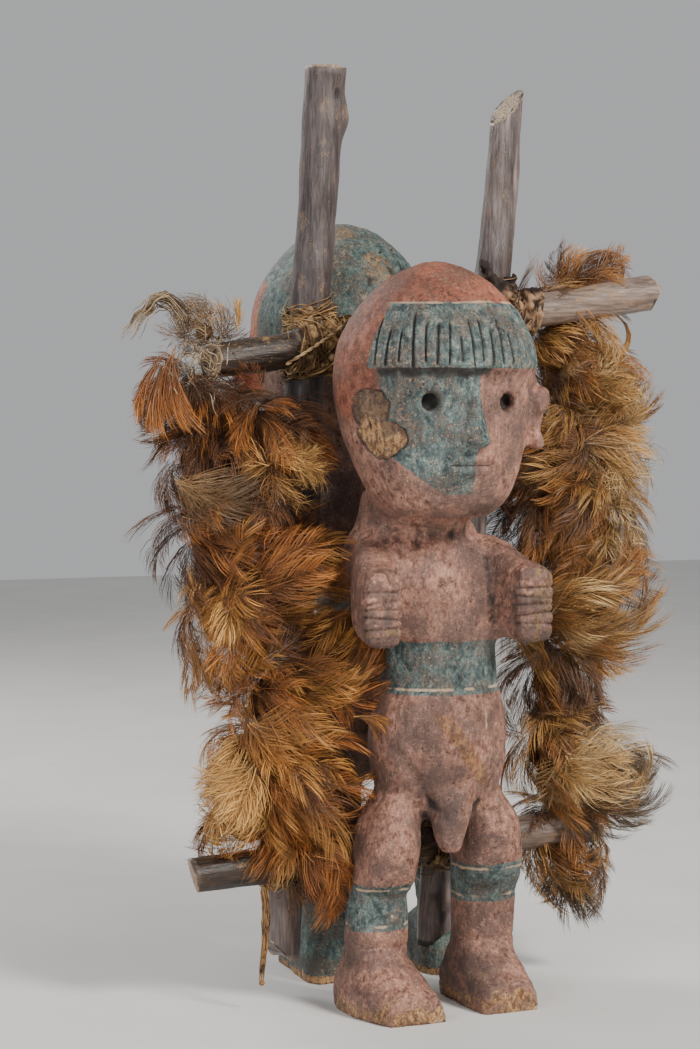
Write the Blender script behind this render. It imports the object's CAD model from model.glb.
"""The looks of the ancestor pair: carved painted wood, peeled sticks, fibre lashings, feather ropes."""
import math

import bmesh
import bpy
import numpy as np
from mathutils import Matrix, Vector


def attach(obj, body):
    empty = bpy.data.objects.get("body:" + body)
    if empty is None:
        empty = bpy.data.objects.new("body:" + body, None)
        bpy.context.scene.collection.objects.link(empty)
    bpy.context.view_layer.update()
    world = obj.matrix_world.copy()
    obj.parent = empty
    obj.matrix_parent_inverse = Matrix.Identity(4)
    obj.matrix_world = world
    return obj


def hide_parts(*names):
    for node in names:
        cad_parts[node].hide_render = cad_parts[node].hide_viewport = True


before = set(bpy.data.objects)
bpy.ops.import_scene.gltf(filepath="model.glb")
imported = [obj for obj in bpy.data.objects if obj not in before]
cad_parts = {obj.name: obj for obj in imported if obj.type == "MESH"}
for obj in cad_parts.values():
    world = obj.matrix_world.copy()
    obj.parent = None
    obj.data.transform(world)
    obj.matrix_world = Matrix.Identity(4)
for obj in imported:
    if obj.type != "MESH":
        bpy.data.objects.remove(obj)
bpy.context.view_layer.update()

# The CAD source lays the parts out first and then moves them by this, to centre them on the ground
MOVE = np.array((-0.00933, -0.00042, 0.0))

# Camera of the photograph, and the floor
CAMERA_TURN = math.radians(-24.0)
CAMERA_PITCH = math.radians(-2.73)
CAMERA_DISTANCE = 1.35
CAMERA_HEIGHT = 0.32
CAMERA_RIGHT = -0.019
CAMERA_LENS = 85.0
SENSOR_WIDTH = 36.0
FLOOR_REACH = 3.2
FLOOR_CELLS = 24

# Sizes shared with the CAD source
UPRIGHT_RADIUS = 0.0101
CROSS_RADIUS = 0.0093
UPRIGHT_DEPTH = 0.0083
CROSS_DEPTH = -0.012
UPRIGHT_BOTTOM = 0.02
LEFT_TOP = 0.5025
RIGHT_TIP = 0.495
LEFT_FOOT_X = -0.0591
LEFT_LEAN = 0.0506
LEFT_KINK = 0.38
LEFT_BEND = 0.031
RIGHT_FOOT_X = 0.0342
RIGHT_LEAN = 0.1045
RIGHT_KINK = 0.054
TOP_LINE = (0.353, 0.154)
TOP_STICK_START = -0.1085
TOP_STICK_LENGTH = 0.2745
BOTTOM_LINE = (0.0765, 0.045)
BOTTOM_STICK_START = -0.1185
BOTTOM_STICK_LENGTH = 0.245
STUB_X = -0.056
TIE_LENGTH = 0.052
HEAD_LEVEL = 0.842
FRINGE_LEVEL = 0.86
BROW_LEVEL = 0.841
CHIN_LEVEL = 0.684
BELT_LOW = 0.4406
BELT_HIGH = 0.502
HAIRLINE = 0.944
EYE_SPACING = 0.054
EYE_RADIUS = 0.0125
GROOVE_COUNT = 18
GROOVE_FAN = 62.0
HEAD_DEPTH_SHARE = 0.955
HIP_LEVEL = 0.318
NAVEL_LEVEL = 0.372
HAND_LEVEL = 0.56
EYE_LEVEL = BROW_LEVEL - 0.024
NOSE_LOW = (BROW_LEVEL + CHIN_LEVEL) / 2.0
MOUTH_LEVEL = NOSE_LOW - (NOSE_LOW - CHIN_LEVEL) / 3.0

# Depths and heights of the carving, in metres
GROOVE_CUT = 0.0016
HAIRLINE_CUT = 0.0005
EYE_BORE = 0.007
LID_RISE = 0.0003
LIP_RISE = 0.001
MOUTH_CUT = 0.0014
CHEEK_HOLLOW = 0.0007
SPLIT_CUT = 0.0022
FINGER_CUT = 0.0014
BELT_CUT = 0.0006
KEEL_RISE = 0.0012
PELVIS_CUT = 0.002
BAND_CUT = 0.0004
CREASE_CUT = 0.0005
SPINE_CUT = 0.0012
SEAT_CUT = 0.0022
CRACK_CUT = 0.0005
SOLE_FLAT = 0.0006  # whatever is lower than this is pressed flat on the ground


# Noise, curves and mesh helpers

def lattice(ix, iy, iz, seed):
    mixed = (ix * 73856093) ^ (iy * 19349663) ^ (iz * 83492791) ^ (seed * 668265263)
    mixed = (mixed ^ (mixed >> 13)) & 0x7FFFFFFF
    mixed = (mixed * 1274126177) & 0x7FFFFFFFFFFF
    return ((mixed ^ (mixed >> 15)) & 0xFFFF) / 65535.0


def ease(low, high, value):
    t = np.clip((value - low) / (high - low), 0.0, 1.0)
    return t * t * (3.0 - 2.0 * t)


def window(value, low, full, full_end, high):
    """Rises from 0 to 1 between low and full, and falls back between full_end and high."""
    return ease(low, full, value) * ease(high, full_end, value)


def bump_at(value, centre, width):
    return np.exp(-((value - centre) / width) ** 2)


def noise(points, size, seed):
    """Smooth value noise from 0 to 1 with features of the given size; size may be one number or three."""
    scaled = np.asarray(points, float) / np.asarray(size, float) + 1000.0
    base = np.floor(scaled).astype(np.int64)
    part = scaled - base
    part = part * part * (3.0 - 2.0 * part)
    total = np.zeros(len(scaled))
    for corner in np.ndindex(2, 2, 2):
        near = np.abs(1 - np.array(corner) - part)
        total += near[:, 0] * near[:, 1] * near[:, 2] * lattice(*(base + corner).T, seed)
    return total


def layered(points, size, seed, layers):
    """Noise summed over finer and finer layers."""
    total, full, size = 0.0, 0.0, np.asarray(size, float)
    for layer in range(layers):
        weight = 0.5 ** layer
        total = total + weight * noise(points, size * weight, seed + 17 * layer)
        full += weight
    return total / full


def wander_of(points, size, first_seed, step=0.0):
    """Three channels of noise round zero, to shake points with."""
    return np.stack([noise(points + k * step, size, first_seed + k) - 0.5 for k in range(3)], 1)


def rows_between(rows, count):
    """Evenly stepped rows on a smooth curve through the given rows."""
    rows = np.asarray(rows, float)
    padded = np.vstack([rows[0] * 2.0 - rows[1], rows, rows[-1] * 2.0 - rows[-2]])
    spans = len(rows) - 1
    place = np.linspace(0.0, spans, count)
    index = np.minimum(place.astype(int), spans - 1)
    t = (place - index)[:, None]
    a, b, c, d = (padded[index + k] for k in range(4))
    return 0.5 * (2.0 * b + (c - a) * t + (2.0 * a - 5.0 * b + 4.0 * c - d) * t * t
                  + (3.0 * b - a - 3.0 * c + d) * t * t * t)


def unit(v):
    return v / np.maximum(np.linalg.norm(v, axis=-1, keepdims=True), 1e-9)


def ring_faces(rings, sides):
    """Quads of a tube of rings, with end caps as single faces."""
    quads = [(low + side, low + (side + 1) % sides, low + sides + (side + 1) % sides, low + sides + side)
             for low in range(0, (rings - 1) * sides, sides) for side in range(sides)]
    return quads + [tuple(reversed(range(sides))), tuple(range((rings - 1) * sides, rings * sides))]


def closed_tube(verts):
    """Points and faces of a tube from its rings, each of the same count of points."""
    return np.vstack(verts), ring_faces(len(verts), len(verts[0]))


def linked(name, data):
    made = bpy.data.objects.new(name, data)
    bpy.context.scene.collection.objects.link(made)
    return made


def mesh_object(name, verts, faces):
    mesh = bpy.data.meshes.new(name)
    mesh.from_pydata([tuple(v) for v in verts], [], [tuple(int(i) for i in f) for f in faces])
    mesh.validate()
    return linked(name, mesh)


def triangle_object(name, verts, faces):
    """A mesh from arrays, much quicker than from lists."""
    mesh = bpy.data.meshes.new(name)
    mesh.vertices.add(len(verts))
    mesh.vertices.foreach_set("co", np.ascontiguousarray(verts, dtype=float).ravel())
    mesh.loops.add(len(faces) * 3)
    mesh.loops.foreach_set("vertex_index", np.ascontiguousarray(faces, dtype=np.int32).ravel())
    mesh.polygons.add(len(faces))
    mesh.polygons.foreach_set("loop_start", np.arange(0, len(faces) * 3, 3, dtype=np.int32))
    mesh.update(calc_edges=True)
    return linked(name, mesh)


def joined(shapes):
    """Many shapes as one list of points and one of faces."""
    verts, faces, start = [], [], 0
    for shape_verts, shape_faces in shapes:
        verts.append(np.asarray(shape_verts, float))
        faces.extend(tuple(i + start for i in face) for face in shape_faces)
        start += len(shape_verts)
    return np.vstack(verts), faces


def points_of(target, field="co"):
    flat = np.empty(len(target.data.vertices) * 3)
    target.data.vertices.foreach_get(field, flat)
    return flat.reshape(-1, 3)


def set_points(target, points):
    target.data.vertices.foreach_set("co", np.ascontiguousarray(points, dtype=float).ravel())
    target.data.update()


def push(target, depth):
    """Moves every point along its normal."""
    set_points(target, points_of(target) + points_of(target, "normal") * depth[:, None])


def neighbour_mean(target, values, passes=1):
    """Average of each point's neighbours, for smoothing and for finding hollows."""
    count = len(target.data.vertices)
    pairs = np.empty(len(target.data.edges) * 2, dtype=np.int32)
    target.data.edges.foreach_get("vertices", pairs)
    a, b = pairs[0::2], pairs[1::2]
    degree = np.maximum(np.bincount(a, minlength=count) + np.bincount(b, minlength=count), 1)
    rows = np.array(values, float).reshape(count, -1).T
    for _ in range(passes):
        rows = [(np.bincount(a, row[b], count) + np.bincount(b, row[a], count)) / degree for row in rows]
    return np.stack(rows, 1).reshape(np.shape(values))


def hollowness(target, reach, passes=1):
    """Above 0 in grooves and corners, below 0 on edges, over a reach counted in edges."""
    points = points_of(target)
    spread = neighbour_mean(target, points, reach)
    return neighbour_mean(target, np.einsum("ij,ij->i", spread - points, points_of(target, "normal")), passes)


def paint_layer(target, name, *channels):
    layer = target.data.color_attributes.new(name, "FLOAT_COLOR", "POINT")
    values = np.ones((len(target.data.vertices), 4))
    for k, channel in enumerate(channels):
        values[:, k] = np.clip(channel, 0.0, 1.0)
    layer.data.foreach_set("color", values.ravel())


def fuse(target, size):
    """Rebuilds overlapping bodies as one skin, with cells of the given size."""
    remesh = target.modifiers.new("fuse", "REMESH")
    remesh.mode, remesh.voxel_size = "VOXEL", size
    bpy.context.view_layer.update()
    graph = bpy.context.evaluated_depsgraph_get()
    mesh, old = bpy.data.meshes.new_from_object(target.evaluated_get(graph)), target.data
    target.modifiers.clear()
    target.data = mesh
    bpy.data.meshes.remove(old)
    mesh.name = target.name


def relax(target, factor, passes):
    points = points_of(target)
    for _ in range(passes):
        points = points + (neighbour_mean(target, points) - points) * factor
        set_points(target, points)


def rework(target, change):
    work = bmesh.new()
    work.from_mesh(target.data)
    change(work)
    work.to_mesh(target.data)
    work.free()


def refine(target, wanted):
    """Splits the faces whose points are all wanted, one level."""
    def split(work):
        edges = [edge for edge in work.edges if all(wanted[vert.index] for vert in edge.verts)]
        bmesh.ops.subdivide_edges(work, edges=edges, cuts=1, use_grid_fill=True)
    rework(target, split)


def weld(target, distance):
    def close(work):
        bmesh.ops.remove_doubles(work, verts=work.verts, dist=distance)
        bmesh.ops.recalc_face_normals(work, faces=work.faces)
    rework(target, close)


def hand_over(piece, material, node):
    """Gives a piece its material, smooth shading and its place in the frame."""
    if material:
        piece.data.materials.append(material)
    piece.data.polygons.foreach_set("use_smooth", np.ones(len(piece.data.polygons), dtype=bool))
    piece.data.update()
    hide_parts(node)
    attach(piece, "root")


# Figures, in shares of their own height

def middle_at(level, line):
    """Sideways and depth place of a figure's middle at a level; a line has rows of level and both."""
    line = np.asarray(line, float)
    return np.interp(level, line[:, 0], line[:, 1]), np.interp(level, line[:, 0], line[:, 2])


def oval(angles, squareness):
    """Unit circle at 2, and squarer above it."""
    power = 2.0 / squareness
    c, s = np.cos(angles), np.sin(angles)
    return np.sign(c) * np.abs(c) ** power, np.sign(s) * np.abs(s) ** power


def tube_shape(stations, sides, rings, lying=False):
    """A body of oval rings; a station is a level, two middles, two half sizes and a squareness."""
    angles = 2.0 * np.pi * (np.arange(sides) + 0.5) / sides
    verts = []
    for level, x, other, a, b, squareness in rows_between(stations, rings):
        u, v = oval(angles, squareness)
        across, deep, even = x + a * u, other + b * v, np.full(sides, level)
        verts.append(np.stack([across, even, deep] if lying else [across, deep, even], 1))
    return closed_tube(verts)


def body_shape(profile, line, sides, rings, nearest=-1.0):
    """A trunk along the figure's line, whose middle comes no further forward than nearest."""
    stations = []
    for level, a, b, squareness in profile:
        x, y = middle_at(level, line)
        stations.append((level, x, max(y, nearest), a, b, squareness))
    return tube_shape(stations, sides, rings)


def ball_shape(centre, radii, sides=40, rings=24):
    turn = 2.0 * np.pi * np.arange(sides) / sides
    verts = []
    for angle in (math.pi * (ring + 0.5) / rings for ring in range(rings)):
        verts.append(np.stack([np.cos(turn) * math.sin(angle), np.sin(turn) * math.sin(angle),
                               np.full(sides, -math.cos(angle))], 1) * radii + np.asarray(centre))
    return closed_tube(verts)


# The head's outer outline as level and half width, and its recessed one with half depth too; two bodies as
# level, half width, half depth and squareness; the last as level, distance forward and the two half sizes
OUTER = ((0.672, 0.068), (0.69, 0.083), (0.714, 0.097), (0.74, 0.109), (0.768, 0.119), (0.803, 0.129),
         (HEAD_LEVEL, 0.134), (0.89, 0.128), (0.923, 0.113), (0.946, 0.097), (0.97, 0.072), (0.989, 0.042),
         (1.0, 0.01))
CORE = ((0.668, 0.07, 0.062), (CHIN_LEVEL, 0.087, 0.088), (0.706, 0.099, 0.102), (0.74, 0.11, 0.109),
        (0.785, 0.12, 0.112), (BROW_LEVEL, 0.1235, 0.1135), (FRINGE_LEVEL, 0.1305, 0.1245))
TORSO = ((0.262, 0.052, 0.044, 2.2), (0.292, 0.08, 0.063, 2.3), (0.335, 0.092, 0.075, 2.3),
         (0.375, 0.094, 0.079, 2.2), (0.412, 0.088, 0.078, 2.2), (BELT_LOW - 0.005, 0.083, 0.075, 2.2),
         (BELT_LOW, 0.079, 0.072, 2.2), (0.47, 0.0775, 0.0708, 2.2), (BELT_HIGH, 0.077, 0.07, 2.2),
         (BELT_HIGH + 0.003, 0.087, 0.072, 2.7), (0.528, 0.096, 0.074, 2.9), (0.578, 0.104, 0.076, 2.8),
         (0.606, 0.107, 0.075, 2.4), (0.626, 0.098, 0.07, 2.2), (0.65, 0.076, 0.067, 2.0),
         (0.705, 0.07, 0.069, 2.0))
YOKE = ((0.585, 0.104, 0.06, 2.6), (0.606, 0.108, 0.062, 2.5), (0.624, 0.101, 0.062, 2.3),
        (0.642, 0.09, 0.062, 2.1), (0.662, 0.079, 0.062, 2.0), (0.7, 0.074, 0.062, 2.0))
GROIN = ((0.221, 0.067, 0.01, 0.01), (0.232, 0.066, 0.017, 0.017), (0.262, 0.06, 0.026, 0.024),
         (0.3, 0.048, 0.03, 0.026))


def head_shape(middle, width_share):
    """The head as rings whose front follows the recessed face below the fringe."""
    sides = 120
    x, y = middle
    outer, core = rows_between(OUTER, 200), rows_between(CORE, 200)
    levels = np.concatenate([np.linspace(0.668, FRINGE_LEVEL - 0.0012, 90), [FRINGE_LEVEL - 0.0006],
                             np.linspace(FRINGE_LEVEL, 1.0, 60)])
    angles = 2.0 * np.pi * np.arange(sides) / sides
    u, v = oval(angles, 2.15)
    front = np.arctan2(np.abs(np.cos(angles)), -np.sin(angles))
    recess = 1.0 - ease(math.radians(60.0), math.radians(78.0), front)
    verts = []
    for z in levels:
        a_out = np.interp(z, outer[:, 0], outer[:, 1])
        b_out = a_out * HEAD_DEPTH_SHARE
        a_in, b_in = (np.interp(z, core[:, 0], core[:, k]) for k in (1, 2))
        share = recess if z < FRINGE_LEVEL - 0.0003 else np.zeros(sides)
        a, b = (a_out + (a_in - a_out) * share) * width_share, b_out + (b_in - b_out) * share
        verts.append(np.stack([x + a * u, y + b * v, np.full(sides, z)], 1))
    return closed_tube(verts)


def nose_shape(middle):
    x, front = middle[0], middle[1] - 0.11
    rows = [(NOSE_LOW - 0.004, x, front + 0.013, 0.022, 0.03, 1.6)]
    for t in np.linspace(0.0, 1.0, 14)[::-1]:
        z = BROW_LEVEL + 0.004 + (NOSE_LOW - BROW_LEVEL - 0.002) * t
        rows.append((z, x, front + 0.013, 0.01 + 0.016 * t ** 1.6, 0.006 + 0.028 * t ** 1.1 + 0.013, 1.55))
    return tube_shape(rows, 40, 40)


def ear_shapes(middle, side):
    """An ear as a curved rim over a lobe."""
    x, y = middle
    shapes = []
    for t in np.linspace(0.0, 1.0, 9):
        turn = math.radians(-60.0 + 205.0 * t)
        centre = (x + side * (0.128 + 0.01 * math.sin(math.pi * t)), y - 0.038 + 0.017 * math.sin(turn),
                  0.796 + 0.033 * math.cos(turn))
        shapes.append(ball_shape(centre, (0.013, 0.0095, 0.011), 20, 12))
    shapes.append(ball_shape((x + side * 0.126, y - 0.034, 0.792), (0.01, 0.015, 0.03), 24, 14))
    shapes.append(ball_shape((x + side * 0.128, y - 0.042, 0.764), (0.012, 0.011, 0.012), 20, 12))
    return shapes


def arm_shape(side, line):
    """A wedge whose top slopes from the neck down to the hand."""
    x0, y0 = middle_at(HAND_LEVEL, line)
    profile = ((0.036, 0.058, 0.574, 0.024, 0.052, 3.0), (-0.006, 0.076, 0.576, 0.03, 0.064, 3.2),
               (-0.05, 0.094, 0.567, 0.029, 0.062, 3.6), (-0.088, 0.105, 0.556, 0.0265, 0.053, 3.8),
               (-0.117, 0.11, 0.551, 0.0262, 0.05, 4.6), (-0.124, 0.111, 0.55, 0.0245, 0.047, 4.6))
    return tube_shape([(y0 + y, x0 + side * x, *rest) for y, x, *rest in profile], 40, 40, True)


def leg_shape(side, line, spread, calf, ankle):
    hip_x, hip_y = middle_at(0.3, line)
    profile = ((0.03, 0.0, 0.0, 0.04, 0.04), (0.105, 0.0, 0.0, 0.0405, 0.04),
               (0.163, 0.002, -0.001, 0.042, 0.041), (0.168, 0.003, -0.008, 0.0435, 0.045),
               (0.195, 0.006, -0.017, 0.0445, 0.051), (0.232, 0.009, -0.02, 0.044, 0.053),
               (0.262, 0.013, -0.018, 0.04, 0.049), (0.285, 0.021, -0.016, 0.034, 0.042),
               (HIP_LEVEL, 0.034, -0.014, 0.03, 0.032))
    stations = []
    for level, inward, forward, a, b in profile:
        t = level / HIP_LEVEL
        high, low = ease(0.13, 0.18, level), ease(0.14, 0.09, level)
        slim = 1.0 - (1.0 - ankle) * low
        out = spread - inward + (1.0 - calf) * 0.045 * high
        stations.append((level, side * out + hip_x * t, forward + hip_y * t * 0.5,
                         a * slim * (1.0 - (1.0 - calf) * high), b * slim, 2.6))
    return tube_shape(stations, 64, 70)


def sole_shape(side, spread, heel, trim):
    profile = ((heel, 0.0, 0.03, 0.034), (heel - 0.01, 0.0, 0.0405, 0.06), (0.022, 0.0, 0.046, 0.094),
               (-0.03, 0.0, 0.047, 0.09), (-0.058, -0.006, 0.0465, 0.07), (-0.084, -0.012, 0.045, 0.05),
               (-0.1, -0.016, 0.043, 0.041), (-0.107, -0.018, 0.039, 0.036))
    inward = 1.0 if side < 0 else 0.0
    stations = [(y - trim * min(y, 0.0), side * (spread + x * inward), a, height)
                for y, x, a, height in profile]
    angles = np.pi * np.arange(40) / 39
    c, s = np.cos(angles), np.abs(np.sin(angles))
    verts = [np.stack([x + a * np.sign(c) * np.abs(c) ** 0.7, np.full(40, y), height * s ** 0.7], 1)
             for y, x, a, height in rows_between(stations, 48)]
    return closed_tube(verts)


def rough_figure(shape, middle):
    """The figure as one skin over overlapping bodies, before any cut."""
    line = shape["line"]
    shapes = [head_shape(middle, shape["head_width_share"]), nose_shape(middle),
              body_shape(TORSO, line, 90, 110), body_shape(YOKE, line, 80, 50, -0.03)]
    for side in (-1, 1):
        if side != shape["broken_side"]:
            shapes += ear_shapes(middle, side)
        calf = shape["near_calf"] if side < 0 else 1.0
        shapes.append(arm_shape(side, line))
        shapes.append(leg_shape(side, line, shape["spread"], calf, shape["ankle"]))
        trim = shape["toe_trim"] if side > 0 else 0.0
        shapes.append(sole_shape(side, shape["spread"], shape["heel"], trim))
        shapes.append(ball_shape((side * (0.07 + (1.0 - calf) * 0.04) + 0.002, -0.03, 0.238),
                                 (0.034 * calf, 0.037, 0.046)))
    belly_x, belly_y = middle_at(NAVEL_LEVEL, line)
    shapes.append(ball_shape((belly_x, belly_y - 0.074, NAVEL_LEVEL), (0.017, 0.013, 0.03)))
    if shape["male"]:
        shapes.append(tube_shape([(level, belly_x - 0.013 * ease(0.32, 0.24, level), belly_y - out, a, b, 2.0)
                                  for level, out, a, b in GROIN], 40, 30))
    verts, faces = joined(shapes)
    figure = mesh_object(shape["name"] + "_carving", verts * shape["height"], faces)
    fuse(figure, shape["voxel"])
    relax(figure, 0.5, 2)

    # The fringe is split twice and the face and hands once, so that their cuts are crisp
    y0 = middle_at(HAND_LEVEL, line)[1]
    for level in range(2):
        local = points_of(figure) / shape["height"]
        angle, z = head_angle(local, middle), local[:, 2]
        head = z > 0.7
        fringe = (z > FRINGE_LEVEL - 0.008) & (z < HAIRLINE + 0.004)
        wanted = head & fringe & (np.abs(angle) < GROOVE_FAN + 4.0)
        wanted = wanted | ((local[:, 1] < y0 - 0.096) & (np.abs(z - 0.551) < 0.052))
        if level == 0:
            wanted = wanted | (head & (np.abs(angle) < 84.0) & (z < FRINGE_LEVEL))
            for line_level in leg_lines(local[:, 0]) + (BELT_LOW - 0.002,):
                wanted = wanted | (np.abs(z - line_level) < 0.0065)
        refine(figure, wanted)
    relax(figure, 0.35, 1)
    return figure


FRONT_SHAPE = {
    "name": "front_figure", "height": 0.3945, "place": (0.007, -0.0405), "turn": 0.0, "spread": 0.08,
    "heel": 0.06, "toe_trim": 0.12, "male": True, "broken_side": -1, "head_width_share": 1.0, "seed": 3,
    "hairline": 0.944, "hair_reach": 70.0, "voxel": 0.00215, "near_calf": 0.88, "ankle": 1.0, "sole": 0.03,
    "line": ((0.0, 0.0, 0.0), (0.3, 0.003, -0.02), (0.5, 0.005, -0.02), (0.56, -0.018, -0.014),
             (0.66, -0.028, -0.006), (0.7, -0.032, -0.086), (1.0, -0.032, -0.086)),
}
BACK_SHAPE = {
    "name": "back_figure", "height": 0.424, "place": (0.02, 0.0378), "turn": 174.0, "spread": 0.082,
    "heel": 0.05, "toe_trim": 0.0, "male": False, "broken_side": 0, "head_width_share": 0.92, "seed": 11,
    "hairline": 0.922, "hair_reach": 84.0, "voxel": 0.00264, "near_calf": 1.0, "ankle": 0.85, "sole": 0.016,
    "line": ((0.0, 0.0, 0.0), (0.3, 0.01, -0.015), (0.5, 0.016, -0.015), (0.56, 0.022, -0.01),
             (0.66, 0.032, -0.006), (0.7, 0.042, -0.074), (1.0, 0.042, -0.074)),
}


def head_angle(local, middle):
    """Angle round the head in degrees, 0 at the front and positive to the figure's left."""
    return np.degrees(np.arctan2(local[:, 0] - middle[0], -(local[:, 1] - middle[1])))


def cut_fringe(local, angle, front):
    """Depth of the upright cuts in the fringe, straight and of uneven length."""
    spacing = 2.0 * GROOVE_FAN / (GROOVE_COUNT - 1)
    step = np.round((angle + GROOVE_FAN) / spacing)
    z = local[:, 2]
    place = step * spacing - GROOVE_FAN + 1.1 * np.sin(step * 12.9) + (z - 0.895) * 22.0 * np.sin(step * 7.7)
    off = np.abs(angle - place)
    top = 0.921 + 0.01 * np.sin(step * 2.3 + 1.0) + 0.006 * np.sin(step * 5.1)
    low = FRINGE_LEVEL + 0.004 + 0.004 * np.sin(step * 3.7)
    inside = (step >= 0) & (step < GROOVE_COUNT)
    width = 1.05 + 0.25 * np.sin(step * 9.1)
    shape = np.clip(1.0 - off / width, 0.0, 1.0) ** 0.6
    return shape * ease(top, top - 0.01, z) * ease(low - 0.003, low + 0.002, z) * inside * front


def leg_lines(x):
    """Levels of the two incised lines round each shin and of the ankle crease, which slant a little."""
    near = (x < 0.0).astype(float)
    slant = 0.03 * (x - np.sign(x) * 0.08)
    return 0.192 - 0.021 * near + slant, 0.15 - 0.03 * near + slant, 0.09


def build_figure(shape, material):
    """Carves one figure: cuts and marks on its rough skin, zones of paint and wear, and its place."""
    line, seed, male = shape["line"], shape["seed"], shape["male"]
    middle = middle_at(1.0, line)
    figure = rough_figure(shape, middle)
    points = points_of(figure)
    local = points / shape["height"]
    x, y, z = local.T
    angle = head_angle(local, middle)
    x0, y0 = middle_at(HAND_LEVEL, line)
    across = x - middle[0]
    head = ease(0.69, 0.705, z)
    face_front = head * ease(-0.02, -0.06, y - middle[1])
    depth = np.zeros(len(points))

    def grained(size, add, layers=3):
        return layered(points, size, seed + add, layers)

    # The back head is chipped where it meets the other
    toward_lens = (angle - 162.0 + 180.0) % 360.0 - 180.0
    if not male:
        chip = np.hypot((toward_lens - 42.0) / 6.0, (z - 0.938) / 0.012)
        depth -= ease(1.1, 0.5, chip + 0.5 * (noise(points, 0.004, seed + 60) - 0.5)) * head * 0.0035

    # Fringe cuts and the incised hairline
    grooves = cut_fringe(local, angle, head * ease(0.0, -0.03, y - middle[1]))
    depth -= grooves * GROOVE_CUT
    reach = shape["hair_reach"]
    hairline = bump_at(z, shape["hairline"] + 0.0015 * np.sin(np.radians(angle) * 3.0), 0.002)
    hairline *= ease(reach + 4.0, reach - 4.0, np.abs(angle)) * (0.2 + 1.2 * noise(points, 0.006, seed + 50))
    depth -= hairline * HAIRLINE_CUT

    # Face: bored eyes, closed mouth and soft lips, all by proportion
    eyes = np.zeros(len(points))
    from_eyes = [np.hypot(across - side * EYE_SPACING, z - EYE_LEVEL) for side in (-1, 1)]
    for off in from_eyes:
        eyes = np.maximum(eyes, ease(EYE_RADIUS * 1.05, EYE_RADIUS * 0.72, off) * face_front)
        depth += bump_at(off, EYE_RADIUS * 1.5, 0.004) * face_front * LID_RISE
    near_eyes = ease(EYE_RADIUS * 1.9, EYE_RADIUS * 1.5, np.minimum(*from_eyes))
    slit = ease(0.034, 0.026, np.abs(across)) * bump_at(z, MOUTH_LEVEL, 0.0016) * face_front
    lips = bump_at(z, MOUTH_LEVEL + 0.0075, 0.0055) + bump_at(z, MOUTH_LEVEL - 0.0085, 0.006)
    depth += ease(0.036, 0.018, np.abs(across)) * lips * face_front * LIP_RISE - slit * MOUTH_CUT
    depth -= bump_at(np.abs(across), 0.04, 0.018) * bump_at(z, 0.792, 0.03) * face_front * CHEEK_HOLLOW

    # The scar of the broken ear, rough and split
    scar, scar_rim, split = (np.zeros(len(points)) for _ in range(3))
    if shape["broken_side"]:
        turn = angle - shape["broken_side"] * 62.0
        near_scar = np.minimum(np.hypot((turn + 6.0) / 12.5, (z - 0.804) / 0.025),
                               np.hypot((turn + 1.0) / 16.0, (z - 0.77) / 0.025))
        near_scar = near_scar + 0.75 * (grained(0.009, 5) - 0.5)
        scar = ease(1.06, 0.92, near_scar) * head
        scar_rim = bump_at(near_scar, 1.02, 0.085) * head
        depth -= scar * (0.0008 + 0.0016 * (grained(0.004, 6) - 0.3))
        split = scar * ease(1.0, 0.2, np.hypot((turn + 8.0) / 1.6, (z - 0.786) / 0.008))
        depth -= split * SPLIT_CUT

    # Hands: finger cuts across the end face and a little way along its outer edge
    hand_end = ease(y0 - 0.1, y0 - 0.112, y) * ease(0.07, 0.055, np.abs(z - 0.551))
    outward = np.abs(x - x0) - 0.11
    fingers = np.zeros(len(points))
    for step in range(5):
        slope = 0.1 * math.sin(step * 1.7 + seed)
        level = 0.573 - 0.0115 * step + 0.0014 * math.sin(step * 2.0 + seed) + slope * outward
        fingers = np.maximum(fingers, bump_at(z, level, 0.0021) * (0.75 + 0.25 * math.sin(step * 3.1)))
    fingers *= hand_end * (0.55 + 0.9 * noise(points, 0.005, seed + 40))
    depth -= fingers * FINGER_CUT
    depth -= hand_end * (grained((0.004, 0.004, 0.0025), 41, 2) - 0.4) * 0.0012

    # Belt, waist line, leg bands, ankle crease, spine and seat
    trunk = ease(0.13, 0.115, np.abs(x - middle_at(0.45, line)[0]))
    line_low = bump_at(z, BELT_LOW - 0.002 + 0.006 * x, 0.0024) * trunk
    depth -= line_low * BELT_CUT
    belly_x, belly_y = middle_at(0.37, line)
    before, belly = ease(0.0, -0.03, y - belly_y), x - belly_x
    keel = bump_at(belly - 0.012, 0.0, 0.016) * ease(0.25, 0.3, z) * ease(0.43, 0.4, z) * before
    depth += keel * KEEL_RISE
    pelvis = np.abs(belly) - (0.026 + (z - 0.268) * 0.62)
    pelvis = bump_at(pelvis, 0.0, 0.006) * ease(0.262, 0.275, z) * ease(0.375, 0.34, z) * before
    depth -= pelvis * PELVIS_CUT
    pad_rim = bump_at(np.hypot((belly - 0.022) / 0.015, (z - 0.396) / 0.028), 1.0, 0.09) * before
    depth -= pad_rim * BELT_CUT
    leg = ease(0.3, 0.27, z)
    band_high, band_low, ankle_level = leg_lines(x)
    band_lines = np.maximum(bump_at(z, band_high, 0.0026), bump_at(z, band_low, 0.0026)) * leg
    crease = bump_at(z, ankle_level, 0.0026) * leg
    depth -= band_lines * BAND_CUT + crease * CREASE_CUT
    spine_x, spine_y = middle_at(0.55, line)
    behind = ease(0.01, 0.04, y - spine_y)
    spine = bump_at(x, spine_x, 0.01) * ease(0.5, 0.54, z) * ease(0.66, 0.6, z) * behind
    seat = bump_at(x, middle_at(0.33, line)[0], 0.006) * ease(0.27, 0.3, z) * ease(0.375, 0.34, z) * behind
    depth -= spine * SPINE_CUT + seat * SEAT_CUT

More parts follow.
